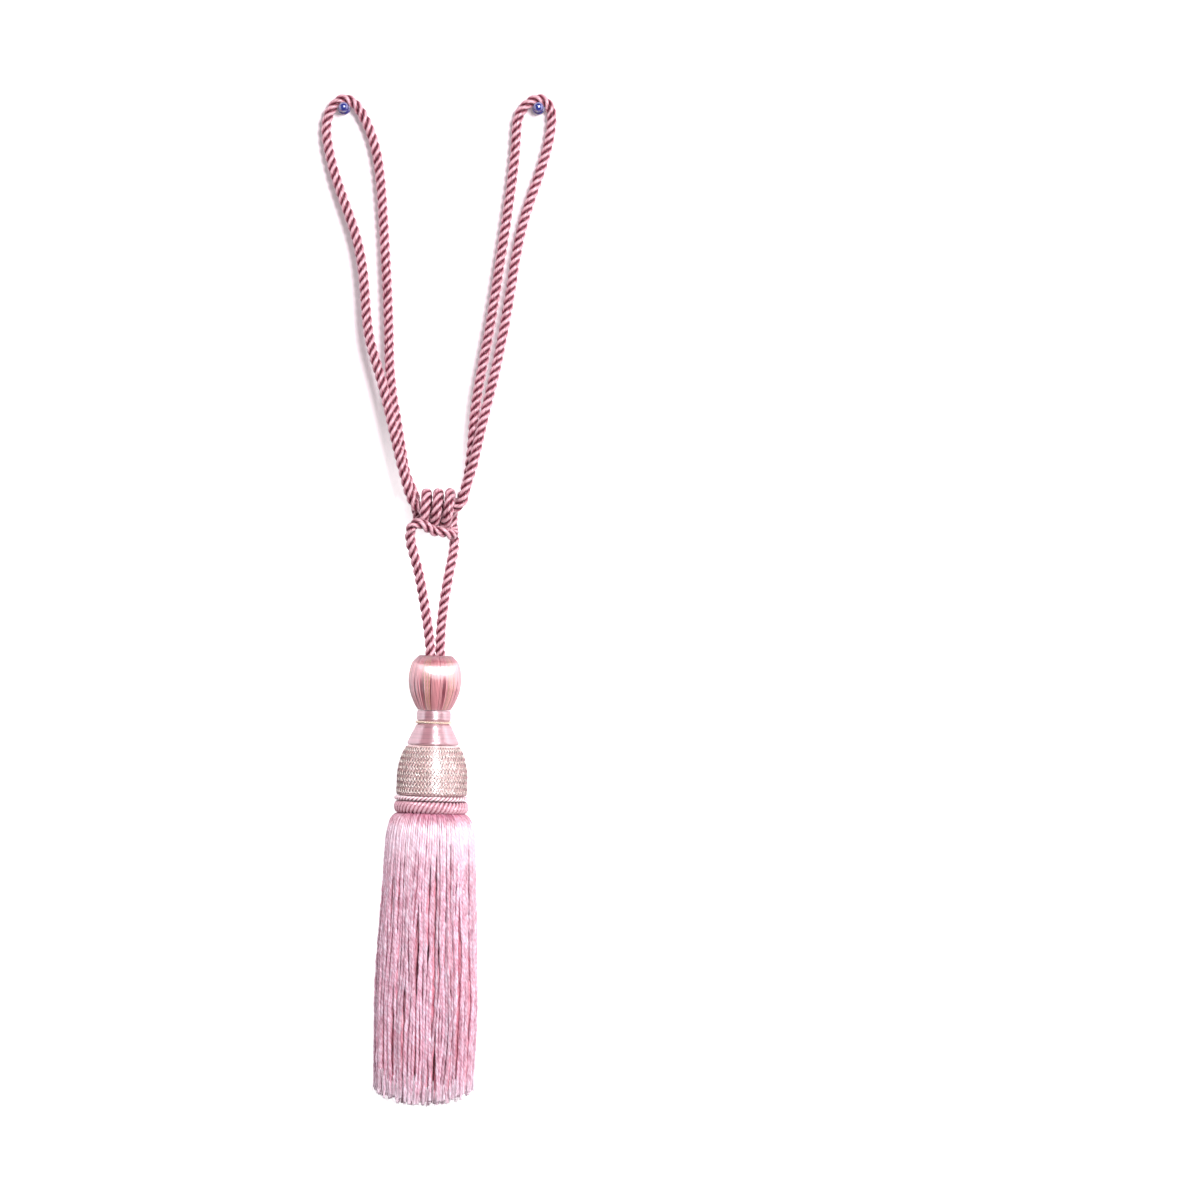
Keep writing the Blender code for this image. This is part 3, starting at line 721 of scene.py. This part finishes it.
def ring_rope(name, centre_radius, drop, half_depth, half_height, plies, turns, rings, sides):
    """A rope laid round the axis: the outline of its plies turns as it goes, and is flattened to size.

    Its strokes climb to the right as seen from the front.
    """
    around = np.arange(rings + 1) / rings
    side = np.arange(sides + 1) / sides
    turned = side[None, :] * TURN + around[:, None] * TURN * turns
    reach, depth = ply_reach(side[:-1] * TURN, plies, ROPE_PLY, 1.0 - ROPE_PLY)
    out = centre_radius + half_depth * reach * np.cos(turned[:-1, :-1])
    up = half_height * reach * np.sin(turned[:-1, :-1])
    points = on_tassel(turned_points(out, drop - up, around[:-1, None] * TURN))
    uv = uv_grid(around[None, :, None] * TURN * centre_radius * MM, turned[None] / TURN)
    return tube_mesh(name, points[None], closed=True, uv=uv, values={"depth": depth})


def plied_material(name, shaded_dyes):
    """Plied yarn: fibres along the rope, pale plies and painted shade in the grooves between them."""
    material, tree, shader = new_material(name, 0.28, {**CORD_GLEAM, "IOR": 2.0})
    fibres = use_group(tree, FIBRES, {"UV": own_uv(tree), "Along": 70.0, "Across": 26.0})
    # painted shade in the grooves, from the plies' depth
    wear_and_shade = maths(tree, "MULTIPLY_ADD", fibres["Shade"], -0.25, point_value(tree, "depth"))
    tree.links.new(shaded_dye(tree, wear_and_shade, fibres["Height"], shaded_dyes), shader["Base Color"])
    tree.links.new(bumped(tree, fibres["Height"], 0.5, 0.0003), shader["Normal"])
    return material


gold_thread = plied_material("gold_thread", THREAD_GOLD_SHADED_DYES)
neck_rope = ring_rope("neck_ring_thread", **NECK_ROPE)
add_piece("neck_ring_thread", neck_rope, gold_thread, "gold_thread", "neck_ring")

# ---------------------------------------------------------------- bell and its net

BELL_PROFILE = (
    (16.4, 57.7),
    (17.1, 58.7),
    (18.8, 61.8),
    (20.4, 66.0),
    (21.7, 71.5),
    (22.4, 77.5),
    (22.4, 84.5),
    (22.0, 89.0),
    (21.5, 89.6),
)
BELL_TURNS = 34
BELL_STEPS_PER_TURN = 3
BELL_INSET = 0.35
BELL_RIDGE = 0.12
# groove, flank and ridge colours: painted shade, the dye, and a paler dye with a painted highlight
BELL_SHADED_DYES = ((0.46, 0.22, 0.22, 1.0), (0.82, 0.51, 0.50, 1.0), (0.94, 0.69, 0.67, 1.0))
NET_THREADS = 60
NET_LEAN = 0.85
NET_TOP = 58.4
NET_BOTTOM = 89.4
NET_RINGS = 96
NET_SIDES = 5
NET_HALF_WIDTH = 0.36
NET_HALF_DEPTH = 0.24
NET_WEAVE = 0.18
NET_DRIFT = 0.018
# groove, flank and ridge colours: painted shade, the dye, and a paler dye with a painted highlight
NET_PINK_SHADED_DYES = ((0.04, 0.006, 0.012, 1.0), (0.14, 0.032, 0.045, 1.0), (0.46, 0.20, 0.23, 1.0))
NET_GOLD_SHADED_DYES = ((0.34, 0.20, 0.16, 1.0), (0.84, 0.63, 0.56, 1.0), (0.97, 0.86, 0.80, 1.0))

bell_satin = wound_material("bell_satin", 0.34, BELL_SHADED_DYES)
inset_profile = [(radius - BELL_INSET, drop) for radius, drop in BELL_PROFILE]
bell_mould = wound_mesh("bell_mould", inset_profile, BELL_TURNS, BELL_STEPS_PER_TURN, BELL_RIDGE)
add_piece("bell_mould", bell_mould, bell_satin, "bell_net", "head_bell")


def net_mesh():
    """Two families of threads that lean opposite ways round the bell and pass over and under each other.

    A thread's angle changes evenly with its drop. It rides out at the crossings where the two threads'
    numbers add up to an even one, and in at the others, by a cosine between them; where it rides in, it
    is painted darker, as painted shade under the thread that crosses it.
    """
    line = smooth_curve(BELL_PROFILE, 200)
    fall = np.linspace(0.0, 1.0, NET_RINGS)[None, :]
    drop = NET_TOP + (NET_BOTTOM - NET_TOP) * fall
    radius = np.interp(drop, line[:, 1], line[:, 0])
    number = np.arange(NET_THREADS)[:, None]
    crossed = number - 2.0 * NET_LEAN * fall * NET_THREADS / TURN
    met = number + 2.0 * NET_LEAN * fall * NET_THREADS / TURN
    lean = np.concatenate([-NET_LEAN * fall + 0.0 * number, NET_LEAN * fall + 0.0 * number])
    base = np.concatenate([number, number]) * TURN / NET_THREADS
    riding = np.concatenate([np.cos(math.pi * (crossed + number)), -np.cos(math.pi * (met + number))])
    radius = radius + NET_WEAVE * riding
    drift = dice.uniform(0.0, TURN, (2 * NET_THREADS, 1))
    angle = base + lean + NET_DRIFT * np.sin(drop * 0.35 + drift) * np.sin(math.pi * fall)
    side = np.arange(NET_SIDES + 1) / NET_SIDES
    turned = side[:-1] * TURN
    sideways = NET_HALF_WIDTH * np.cos(turned) / radius[..., None]
    outward = NET_HALF_DEPTH * np.sin(turned)
    out = radius[..., None] + outward
    points = on_tassel(turned_points(out, drop[..., None], angle[..., None] + sideways))
    gold = np.repeat([0.0, 1.0], NET_THREADS)[:, None, None]
    tone = dice.random(2 * NET_THREADS)[:, None, None]
    # painted shade where a thread rides in under the other family
    depth = np.clip(0.62 + 0.38 * riding[..., None], 0.0, 1.0)
    uv = uv_grid(drop[..., None] * MM + 0.1 * tone, side)
    values = {"depth": depth, "gold": gold, "tone": tone}
    return tube_mesh("bell_net", points, uv=uv, values=values)


def net_material():
    """Two-ply net thread: gold the one way, pink the other, with the ply's strokes as a fine bump."""
    material, tree, shader = new_material("bell_net", 0.32, {"IOR": 3.3})
    uv = own_uv(tree)
    fibres = use_group(tree, FIBRES, {"UV": uv, "Along": 900.0, "Across": 5.0})
    wear_and_shade = use_group(tree, FIBRES, {"UV": uv, "Along": 420.0, "Across": 1.0})
    depth = maths(tree, "MULTIPLY_ADD", wear_and_shade["Shade"], -0.45, point_value(tree, "depth"))
    tone = point_value(tree, "tone")
    pink = shaded_dye(tree, depth, tone, NET_PINK_SHADED_DYES)
    gold = shaded_dye(tree, depth, tone, NET_GOLD_SHADED_DYES)
    colour = mixed(tree, point_value(tree, "gold"), pink, gold)
    tree.links.new(colour, shader["Base Color"])
    tree.links.new(bumped(tree, fibres["Height"], 0.6, 0.0004), shader["Normal"])
    return material


add_piece("bell_net", net_mesh(), net_material(), "bell_net", "head_bell")

# ---------------------------------------------------------------- braid under the bell

HEADING_PROFILE = (
    (20.6, 89.9),
    (20.9, 90.6),
    (20.9, 92.4),
    (19.6, 93.6),
    (19.0, 96.0),
    (19.2, 99.6),
    (21.0, 101.4),
)
HEADING_TURNS = 12
HEADING_STEPS_PER_TURN = 4
HEADING_RIDGE = 0.12
FINE_GIMP = {
    "centre_radius": 22.55, "drop": 91.4, "half_depth": 1.45, "half_height": 1.45,
    "plies": 2, "turns": 25, "rings": 400, "sides": 16,
}
GIMP = {
    "centre_radius": 21.7, "drop": 97.0, "half_depth": 2.3, "half_height": 3.75,
    "plies": 3, "turns": 16, "rings": 480, "sides": 24,
}
# groove, flank and ridge colours: painted shade, the dye, and a paler dye with a painted highlight
GIMP_SHADED_DYES = ((0.36, 0.13, 0.17, 1.0), (0.58, 0.29, 0.35, 1.0), (0.75, 0.48, 0.55, 1.0))
# painted shade in the grooves and a painted highlight on the ridges, all painted paler as light against the
# bell's shade
FINE_GIMP_SHADED_DYES = ((0.42, 0.15, 0.20, 1.0), (0.86, 0.60, 0.66, 1.0), (0.99, 0.95, 0.96, 1.0))
# groove, flank and ridge colours: painted shade, the dye, and a paler dye with a painted highlight
HEADING_SHADED_DYES = ((0.14, 0.03, 0.045, 1.0), (0.34, 0.11, 0.15, 1.0), (0.52, 0.24, 0.29, 1.0))

gimp_rayon = plied_material("gimp_rayon", GIMP_SHADED_DYES)
fine_gimp_rayon = plied_material("gimp_cord_rayon", FINE_GIMP_SHADED_DYES)
heading_rayon = wound_material("skirt_heading", 0.5, HEADING_SHADED_DYES)
heading = wound_mesh("skirt_heading", HEADING_PROFILE, HEADING_TURNS, HEADING_STEPS_PER_TURN, HEADING_RIDGE)
fine_gimp = ring_rope("gimp_cord_twist", **FINE_GIMP)
gimp = ring_rope("gimp_rope_twist", **GIMP)
add_piece("skirt_heading", heading, heading_rayon, "skirt_rayon", "skirt")
add_piece("gimp_cord_twist", fine_gimp, fine_gimp_rayon, "gimp_rayon", "gimp_cord")
add_piece("gimp_rope_twist", gimp, gimp_rayon, "gimp_rayon", "gimp_rope")

# ---------------------------------------------------------------- skirt

# The line of an outer thread's middle: it comes out from under the braid, turns over and hangs.
# Each row is a drop, the oval's half width and half depth there, and how far forward it is.
SKIRT_LINE = (
    (99.9, 18.0, 18.0, 0.0),
    (101.4, 21.0, 20.6, 0.0),
    (103.0, 23.6, 22.6, 0.0),
    (105.4, 25.4, 24.0, 0.2),
    (108.6, 26.7, 25.0, 0.4),
    (113.0, 27.6, 25.5, 0.7),
    (120.0, 28.3, 25.8, 1.1),
    (132.0, 28.9, 26.0, 1.5),
    (152.0, 29.6, 26.0, 1.8),
    (166.0, 30.3, 25.8, 1.9),
    (191.0, 31.3, 25.8, 2.0),
    (219.0, 32.0, 25.8, 2.0),
    (246.0, 32.0, 25.8, 2.0),
    (287.0, 31.2, 25.6, 2.0),
)
SKIRT_START = SKIRT_LINE[0][0]
SKIRT_END = 285.0
SKIRT_SIDE_RISE = 10.5
SKIRT_WANDER = 1.0
SKIRT_CRINKLE = 0.12
SKIRT_LAY = 3.1
SKIRT_GLEAM = {"IOR": 2.2, "Anisotropic": 0.75, "Anisotropic Rotation": 0.25}
THREAD_RADIUS = 0.95
ROOT_THREAD_RADIUS = 0.80
ROOTS_THICKEN = (100.0, 125.0)
RAGGED_ENDS = (-2.6, 1.4)
FRAY_COUNT = 560
FRAY_RINGS = 6
FRAY_RADIUS = 0.30
FRAY_ENDS = (-5.0, 2.2)
FRAY_LENGTHS = (8.0, 14.0)
FRAY_BEND = 1.5
FRAY_PALE = 0.9
FREED = {"start": 112.0, "run": 60.0}  # where the threads leave their even places side by side
SHOULDER = {"start": 104.0, "run": 5.0}
SHOULDER_TO = (134.0, 150.0)
SHOULDER_FADE = 22.0
# how much paler the shoulder is painted, as a painted sheen
SHOULDER_PAINTED_SHEEN = 0.45
END_FADE = 12.0
# where the painted shade at the threads' roots, under the braid, ends, and over how much it fades
ROOT_SHADE_TO = (107.5, 110.5)
ROOT_SHADE_FADE = 2.0
# groove, flank and ridge colours: painted shade, the dye, and a paler dye with a painted highlight
OUTER_SHADED_DYES = ((0.37, 0.10, 0.165, 1.0), (0.63, 0.29, 0.395, 1.0), (0.79, 0.60, 0.72, 1.0))
# the inner layers' colours are painted lighter and redder, as painted light against the shade among the
# threads
INNER_SHADED_DYES = ((0.52, 0.11, 0.18, 1.0), (0.80, 0.29, 0.39, 1.0), (0.91, 0.52, 0.62, 1.0))
# the colour the yarn pales to where it frays at the ends, and where the shoulder has a painted sheen
PALE_YARN_AND_SHEEN = (0.89, 0.76, 0.85, 1.0)


def skirt_ends(angle):
    """The drop at which the threads end: on a bowl, by one less the root of one less a cosine squared."""
    return SKIRT_END - SKIRT_SIDE_RISE * (1.0 - np.sqrt(1.0 - 0.96 * np.cos(angle) ** 2))


def skirt_line(drop):
    """The half width, the half depth and how far forward the skirt's oval is at each drop."""
    stations, *columns = np.transpose(SKIRT_LINE)
    return [np.interp(drop, stations, column) for column in columns]


def tubes_round(middle, angle, thick, sides):
    """Round tubes about hanging lines: each ring is square to its line, its first side facing round."""
    turned = np.arange(sides) * TURN / sides
    tangent = np.gradient(middle, axis=1)
    tangent /= np.linalg.norm(tangent, axis=-1, keepdims=True)
    tangential = np.stack([-np.sin(angle), np.cos(angle), 0.0 * angle], axis=-1)
    across = tangential - tangent * (tangential * tangent).sum(axis=-1, keepdims=True)
    across /= np.linalg.norm(across, axis=-1, keepdims=True)
    beside = np.cross(tangent, across)
    return middle[:, :, None] + thick[..., None, None] * (
        np.cos(turned)[:, None] * across[:, :, None] + np.sin(turned)[:, None] * beside[:, :, None]
    )


def skirt_threads(name, count, first, rings, sides, inset, spread, radius_share):
    """A layer of hanging threads, each a tube whose middle follows the skirt's line at its own angle.

    The oval shrinks by the inset. The roots lie evenly side by side. Further down slow sines push each
    thread sideways and out, and quick ones crinkle it, and a random share of the spread shifts it round
    and inward. The value pale is above 0 where the yarn is paler: on the shoulder, as a painted sheen,
    and by the square of the run to the end, where it frays. It is below 0 at the roots, as painted shade.
    """
    shape = (count, 1)
    steps = np.linspace(0.0, 1.0, rings)[None, :]
    angle = (first + np.arange(count)[:, None]) * TURN / count
    end = skirt_ends(angle) + dice.uniform(*RAGGED_ENDS, shape)
    drop = SKIRT_START + (end - SKIRT_START) * steps**1.15
    width, depth, forward = skirt_line(drop)

    freed = grown(drop, **FREED)
    opened = np.clip((drop - SKIRT_START) / 10.0, 0.35, 1.0)
    inset = inset + spread * (dice.random(shape) - 0.3) * freed
    angle = angle + spread * (dice.random(shape) - 0.5) * freed * TURN / count
    slow = dice.uniform(0.0, TURN, (6,) + shape)
    sway = np.sin(drop * 0.031 + slow[0]) + 0.6 * np.sin(drop * 0.073 + slow[1])
    swell = np.sin(drop * 0.027 + slow[2]) + 0.6 * np.sin(drop * 0.067 + slow[3])
    pull = SKIRT_WANDER * freed
    crinkle = SKIRT_CRINKLE * freed**0.35 * (0.35 + 0.65 * np.abs(np.sin(drop * 0.09 + slow[4])))
    quick = dice.uniform(0.0, TURN, (4,) + shape)
    pace = dice.uniform(0.75, 1.35, (2,) + shape)
    shake_x = np.sin(drop * 1.25 * pace[0] + quick[0]) + 0.7 * np.sin(drop * 0.47 * pace[1] + quick[1])
    shake_y = np.sin(drop * 1.10 * pace[1] + quick[2]) + 0.7 * np.sin(drop * 0.41 * pace[0] + quick[3])
    out = 0.45 * pull * swell - inset * opened
    x = (width + out) * np.cos(angle) - pull * sway * np.sin(angle) + crinkle * shake_x
    y = (depth + out) * np.sin(angle) + pull * sway * np.cos(angle) + crinkle * shake_y - forward

    thick = np.interp(drop, ROOTS_THICKEN, [ROOT_THREAD_RADIUS, THREAD_RADIUS])
    thick = thick * radius_share * dice.uniform(0.85, 1.15, shape)
    thick = thick * (1.0 + 0.14 * np.sin(drop * 0.47 + slow[5]))
    points = tubes_round(np.stack([x, y, -drop], axis=-1), angle, thick, sides)
    tone = dice.random((count, 1, 1))
    uv = uv_grid(drop[..., None] * MM + 0.3 * tone, np.arange(sides + 1) / sides)
    shoulder = grown(drop, **SHOULDER) * grown(dice.uniform(*SHOULDER_TO, shape), drop, SHOULDER_FADE)
    by_end = np.clip((drop - end + END_FADE) / END_FADE, 0.0, 1.0) ** 2
    # painted shade at the roots, under the braid
    root_shade = grown(dice.uniform(*ROOT_SHADE_TO, shape), drop, ROOT_SHADE_FADE)
    pale = np.maximum(by_end, SHOULDER_PAINTED_SHEEN * shoulder) - root_shade
    return tube_mesh(name, on_tassel(points), uv=uv, values={"tone": tone, "pale": pale[..., None]})


def frayed_tips():
    """Fine fibres among the threads' ends, some of them past the ends, each bent by the square of its run."""
    shape = (FRAY_COUNT, 1)
    steps = np.linspace(0.0, 1.0, FRAY_RINGS)[None, :]
    angle = dice.uniform(0.0, TURN, shape) + 0.0 * steps
    end = skirt_ends(angle) + dice.uniform(*FRAY_ENDS, shape)
    drop = end - dice.uniform(*FRAY_LENGTHS, shape) * (1.0 - steps)
    width, depth, forward = skirt_line(drop)
    bend = dice.uniform(-FRAY_BEND, FRAY_BEND, (2,) + shape) * steps**2
    out = bend[0] - 7.0 * dice.random(shape) ** 2 + 0.6
    x = (width + out) * np.cos(angle) - bend[1] * np.sin(angle)
    y = (depth + out) * np.sin(angle) + bend[1] * np.cos(angle) - forward
    thick = FRAY_RADIUS * dice.uniform(0.7, 1.2, shape) * (1.0 - 0.5 * steps)
    points = tubes_round(np.stack([x, y, -drop], axis=-1), angle, thick, 3)
    tone = dice.random((FRAY_COUNT, 1, 1))
    uv = uv_grid(drop[..., None] * MM + 0.3 * tone, np.arange(4) / 3)
    return tube_mesh("skirt_frayed_tips", on_tassel(points), uv=uv, values={"tone": tone, "pale": FRAY_PALE})


def skirt_material(name, shaded_dyes):
    """Crinkled rayon yarn: faint strokes of its two plies, fine fibres, a tone a thread, and patches of
    darker dye.

    The colour is painted darker where pale is below 0, as painted shade at the roots, and paler where it is
    above, as painted sheen on the shoulder and as fraying at the ends.
    """
    material, tree, shader = new_material(name, 0.55, SKIRT_GLEAM)
    laid_along_uv(tree, shader)
    uv = own_uv(tree)
    parts = add_node(tree, "ShaderNodeSeparateXYZ", {"Vector": uv}).outputs
    turns = maths(tree, "MULTIPLY", parts["Y"], 2.0)
    laid = maths(tree, "MULTIPLY_ADD", parts["X"], 1000.0 / SKIRT_LAY, turns)
    stroke = maths(tree, "ABSOLUTE", maths(tree, "SINE", maths(tree, "MULTIPLY", laid, math.pi)))
    fibres = use_group(tree, FIBRES, {"UV": uv, "Along": 170.0, "Across": 11.0})
    patches = use_group(tree, FIBRES, {"UV": uv, "Along": 60.0, "Across": 0.6})
    # painted shade in the grooves between the plies' strokes
    eased = maths(tree, "MULTIPLY_ADD", maths(tree, "POWER", stroke, 0.6), 0.35, 0.62)
    depth = maths(tree, "MULTIPLY_ADD", fibres["Shade"], -0.34, eased)
    depth = maths(tree, "MULTIPLY_ADD", patches["Shade"], -0.26, depth)
    # painted shade at the roots
    root_shade_share = maths(tree, "MINIMUM", point_value(tree, "pale"), 0.0)
    depth = maths(tree, "MULTIPLY_ADD", root_shade_share, 0.26, depth)
    colour = shaded_dye(tree, depth, point_value(tree, "tone"), shaded_dyes)
    paler = maths(tree, "MULTIPLY", point_value(tree, "pale"), 0.75)
    tree.links.new(mixed(tree, paler, colour, PALE_YARN_AND_SHEEN), shader["Base Color"])
    height = maths(tree, "MULTIPLY_ADD", stroke, 0.35, fibres["Height"])
    tree.links.new(bumped(tree, height, 0.18, 0.00035), shader["Normal"])
    return material


skirt_rayon = skirt_material("skirt_rayon", OUTER_SHADED_DYES)
inner_rayon = skirt_material("inner_skirt_rayon", INNER_SHADED_DYES)
SKIRT_LAYERS = (
    {"name": "skirt_outer_a", "count": 55, "first": 0.0, "rings": 240, "sides": 6, "inset": 0.2},
    {"name": "skirt_outer_b", "count": 55, "first": 0.5, "rings": 240, "sides": 6, "inset": 0.5},
    {"name": "skirt_second", "count": 76, "first": 0.3, "rings": 100, "sides": 5, "inset": 2.6},
    {"name": "skirt_third", "count": 66, "first": 0.0, "rings": 40, "sides": 4, "inset": 5.4},
    {"name": "skirt_fourth", "count": 48, "first": 0.0, "rings": 24, "sides": 4, "inset": 8.8},
    {"name": "skirt_inner", "count": 36, "first": 0.0, "rings": 16, "sides": 4, "inset": 13.0},
    {"name": "skirt_core", "count": 20, "first": 0.0, "rings": 16, "sides": 4, "inset": 18.0},
)
OUTER_INSET = 1.0  # layers that are inset by less are the ones that show
INNER_RADIUS_SHARE = 1.3
for layer in SKIRT_LAYERS:
    shows = layer["inset"] < OUTER_INSET
    spread = 1.25 + 0.06 * layer["inset"]
    threads = skirt_threads(**layer, spread=spread, radius_share=1.0 if shows else INNER_RADIUS_SHARE)
    add_piece(layer["name"], threads, skirt_rayon if shows else inner_rayon, "skirt_rayon", "skirt")
add_piece("skirt_frayed_tips", frayed_tips(), skirt_rayon, "skirt_rayon", "skirt")

# ---------------------------------------------------------------- pins

PIN_SPACING = 125.0
PIN_PROFILE = (
    (0.05, 14.40),
    (1.00, 14.28),
    (1.80, 13.90),
    (2.50, 13.20),
    (3.00, 12.45),
    (3.28, 11.70),
    (3.15, 11.05),
    (2.55, 10.60),
    (2.00, 10.00),
    (1.74, 9.00),
    (1.70, 6.00),
    (1.74, 4.10),
    (2.10, 3.30),
    (2.90, 2.60),
    (3.65, 1.90),
    (4.05, 1.40),
    (4.14, 0.90),
    (4.14, 0.35),
    (4.06, 0.06),
    (3.90, 0.00),
)
PIN_ROWS = 90
PIN_SIDES = 56


def pin_mesh(name, x):
    """A moulded pin: its rounded profile, from the head's middle to the collar's back, turned about Y."""
    line = smooth_curve(PIN_PROFILE, PIN_ROWS)
    around = np.arange(PIN_SIDES + 1) / PIN_SIDES
    angle = around[None, :-1] * TURN
    radius, front = line[:, 0, None], line[:, 1, None]
    points = np.stack([x + radius * np.cos(angle), -front + 0.0 * angle, radius * np.sin(angle)], axis=-1)
    uv = uv_grid(np.linspace(0.0, 1.0, PIN_ROWS)[None, :, None], around)
    return tube_mesh(name, points[None] * MM, uv=uv)


def pin_material():
    """Glossy moulded plastic, royal blue, with the faint mottle and fine scuffs of handling."""
    gloss = {"IOR": 1.6, "Coat Weight": 1.0, "Coat IOR": 2.0}
    material, tree, shader = new_material("pin_plastic", 0.20, gloss)
    place = add_node(tree, "ShaderNodeTexCoord").outputs["Object"]
    mottle = add_node(tree, "ShaderNodeTexNoise", {"Vector": place, "Scale": 700.0, "Detail": 3.0})
    scuffs = add_node(tree, "ShaderNodeTexNoise", {"Vector": place, "Scale": 2600.0, "Detail": 2.0})
    colour = mixed(tree, mottle.outputs["Fac"], (0.006, 0.008, 0.10, 1.0), (0.026, 0.044, 0.34, 1.0))
    tree.links.new(colour, shader["Base Color"])
    tree.links.new(ranged(tree, scuffs.outputs["Fac"], 0.45, 0.75, 0.07, 0.15), shader["Roughness"])
    tree.links.new(bumped(tree, mottle.outputs["Fac"], 0.08, 0.0001), shader["Normal"])
    return material


pin_plastic = pin_material()
add_piece("pin_left_moulded", pin_mesh("pin_left_moulded", 0.0), pin_plastic, "pin_plastic", "pin_left")
add_piece(
    "pin_right_moulded", pin_mesh("pin_right_moulded", PIN_SPACING), pin_plastic, "pin_plastic", "pin_right"
)

# ---------------------------------------------------------------- stage and light

WALL_BACK = 0.0012
WALL_REACH = 3.0
WALL_GLOW = (0.06, 0.9)  # painted light for the camera: a little by the loops, and much by the tassel, where the wall stays white in its shade
GLOW_FROM = -0.14
GLOW_FULL = -0.32
LIT_MIDDLE = (0.057, -0.03, -0.43)
ROOM_LIGHT = 0.13
FRONT_WHITE = (1.0, 0.98, 0.99)
LEFT_WHITE = (0.97, 0.93, 1.0)
RIGHT_WHITE = (1.0, 0.95, 0.98)


def wall_material():
    """Plain white paint with painted light of its own for the camera, more of it the lower on the wall, where
    it hides the tassel's shade.

    It can't be seen from behind and stops no light that comes from there.
    """
    material, tree, shader = new_material("wall_paint", 0.9, specular=0.1)
    shader["Emission Color"].default_value = (1.0, 1.0, 1.0, 1.0)
    place = add_node(tree, "ShaderNodeTexCoord").outputs["Object"]
    height = add_node(tree, "ShaderNodeSeparateXYZ", {"Vector": place}).outputs["Z"]
    glow = ranged(tree, height, GLOW_FROM, GLOW_FULL, *WALL_GLOW)
    seen = add_node(tree, "ShaderNodeLightPath").outputs["Is Camera Ray"]
    tree.links.new(maths(tree, "MULTIPLY", seen, glow), shader["Emission Strength"])
    grain = add_node(tree, "ShaderNodeTexNoise", {"Vector": place, "Scale": 40.0, "Detail": 4.0})
    colour = mixed(tree, grain.outputs["Fac"], (0.90, 0.81, 0.85, 1.0), (0.92, 0.83, 0.87, 1.0))
    tree.links.new(colour, shader["Base Color"])
    back = add_node(tree, "ShaderNodeNewGeometry").outputs["Backfacing"]
    clear = add_node(tree, "ShaderNodeBsdfTransparent").outputs["BSDF"]
    paint = tree.nodes["Principled BSDF"].outputs["BSDF"]
    both = add_node(tree, "ShaderNodeMixShader", {0: back, 1: paint, 2: clear})
    tree.links.new(both.outputs[0], tree.nodes["Material Output"].inputs["Surface"])
    return material


def make_wall():
    """A plain wall behind the pins that faces the camera."""
    reach = WALL_REACH
    corners = [
        (-reach, WALL_BACK, -reach),
        (reach, WALL_BACK, -reach),
        (reach, WALL_BACK, reach),
        (-reach, WALL_BACK, reach),
    ]
    mesh = bpy.data.meshes.new("wall")
    mesh.from_pydata(corners, [], [(0, 1, 2, 3)])
    mesh.materials.append(wall_material())
    wall = bpy.data.objects.new("wall", mesh)
    bpy.context.scene.collection.objects.link(wall)


def soft_box(name, place, width, height, power, colour):
    """A flat rectangular lamp that faces the middle of what is lit."""
    lamp = bpy.data.lights.new(name, "AREA")
    lamp.shape = "RECTANGLE"
    lamp.size = width
    lamp.size_y = height
    lamp.energy = power
    lamp.color = colour
    light = bpy.data.objects.new(name, lamp)
    light.location = place
    light.rotation_euler = (Vector(LIT_MIDDLE) - Vector(place)).to_track_quat("-Z", "Y").to_euler()
    bpy.context.scene.collection.objects.link(light)


def light_scene():
    """A big soft box in front, up and to the right, a lamp before it, and a tall panel at each side."""
    soft_box("key", (0.80, -1.97, 0.30), width=2.34, height=1.43, power=24.0, colour=FRONT_WHITE)
    soft_box("lamp", (0.56, -1.77, 0.32), width=0.45, height=0.40, power=39.0, colour=FRONT_WHITE)
    soft_box("left_panel", (-1.0, -0.26, -0.25), width=0.5, height=1.3, power=3.0, colour=LEFT_WHITE)
    soft_box("right_panel", (1.1, -0.26, -0.10), width=0.5, height=1.3, power=4.8, colour=RIGHT_WHITE)
    world = bpy.data.worlds.new("room")
    world.use_nodes = True
    sky = world.node_tree.nodes["Background"]
    sky.inputs["Color"].default_value = (1.0, 1.0, 1.0, 1.0)
    sky.inputs["Strength"].default_value = ROOM_LIGHT
    bpy.context.scene.world = world
    bpy.context.scene.view_settings.view_transform = "Standard"


make_wall()
light_scene()
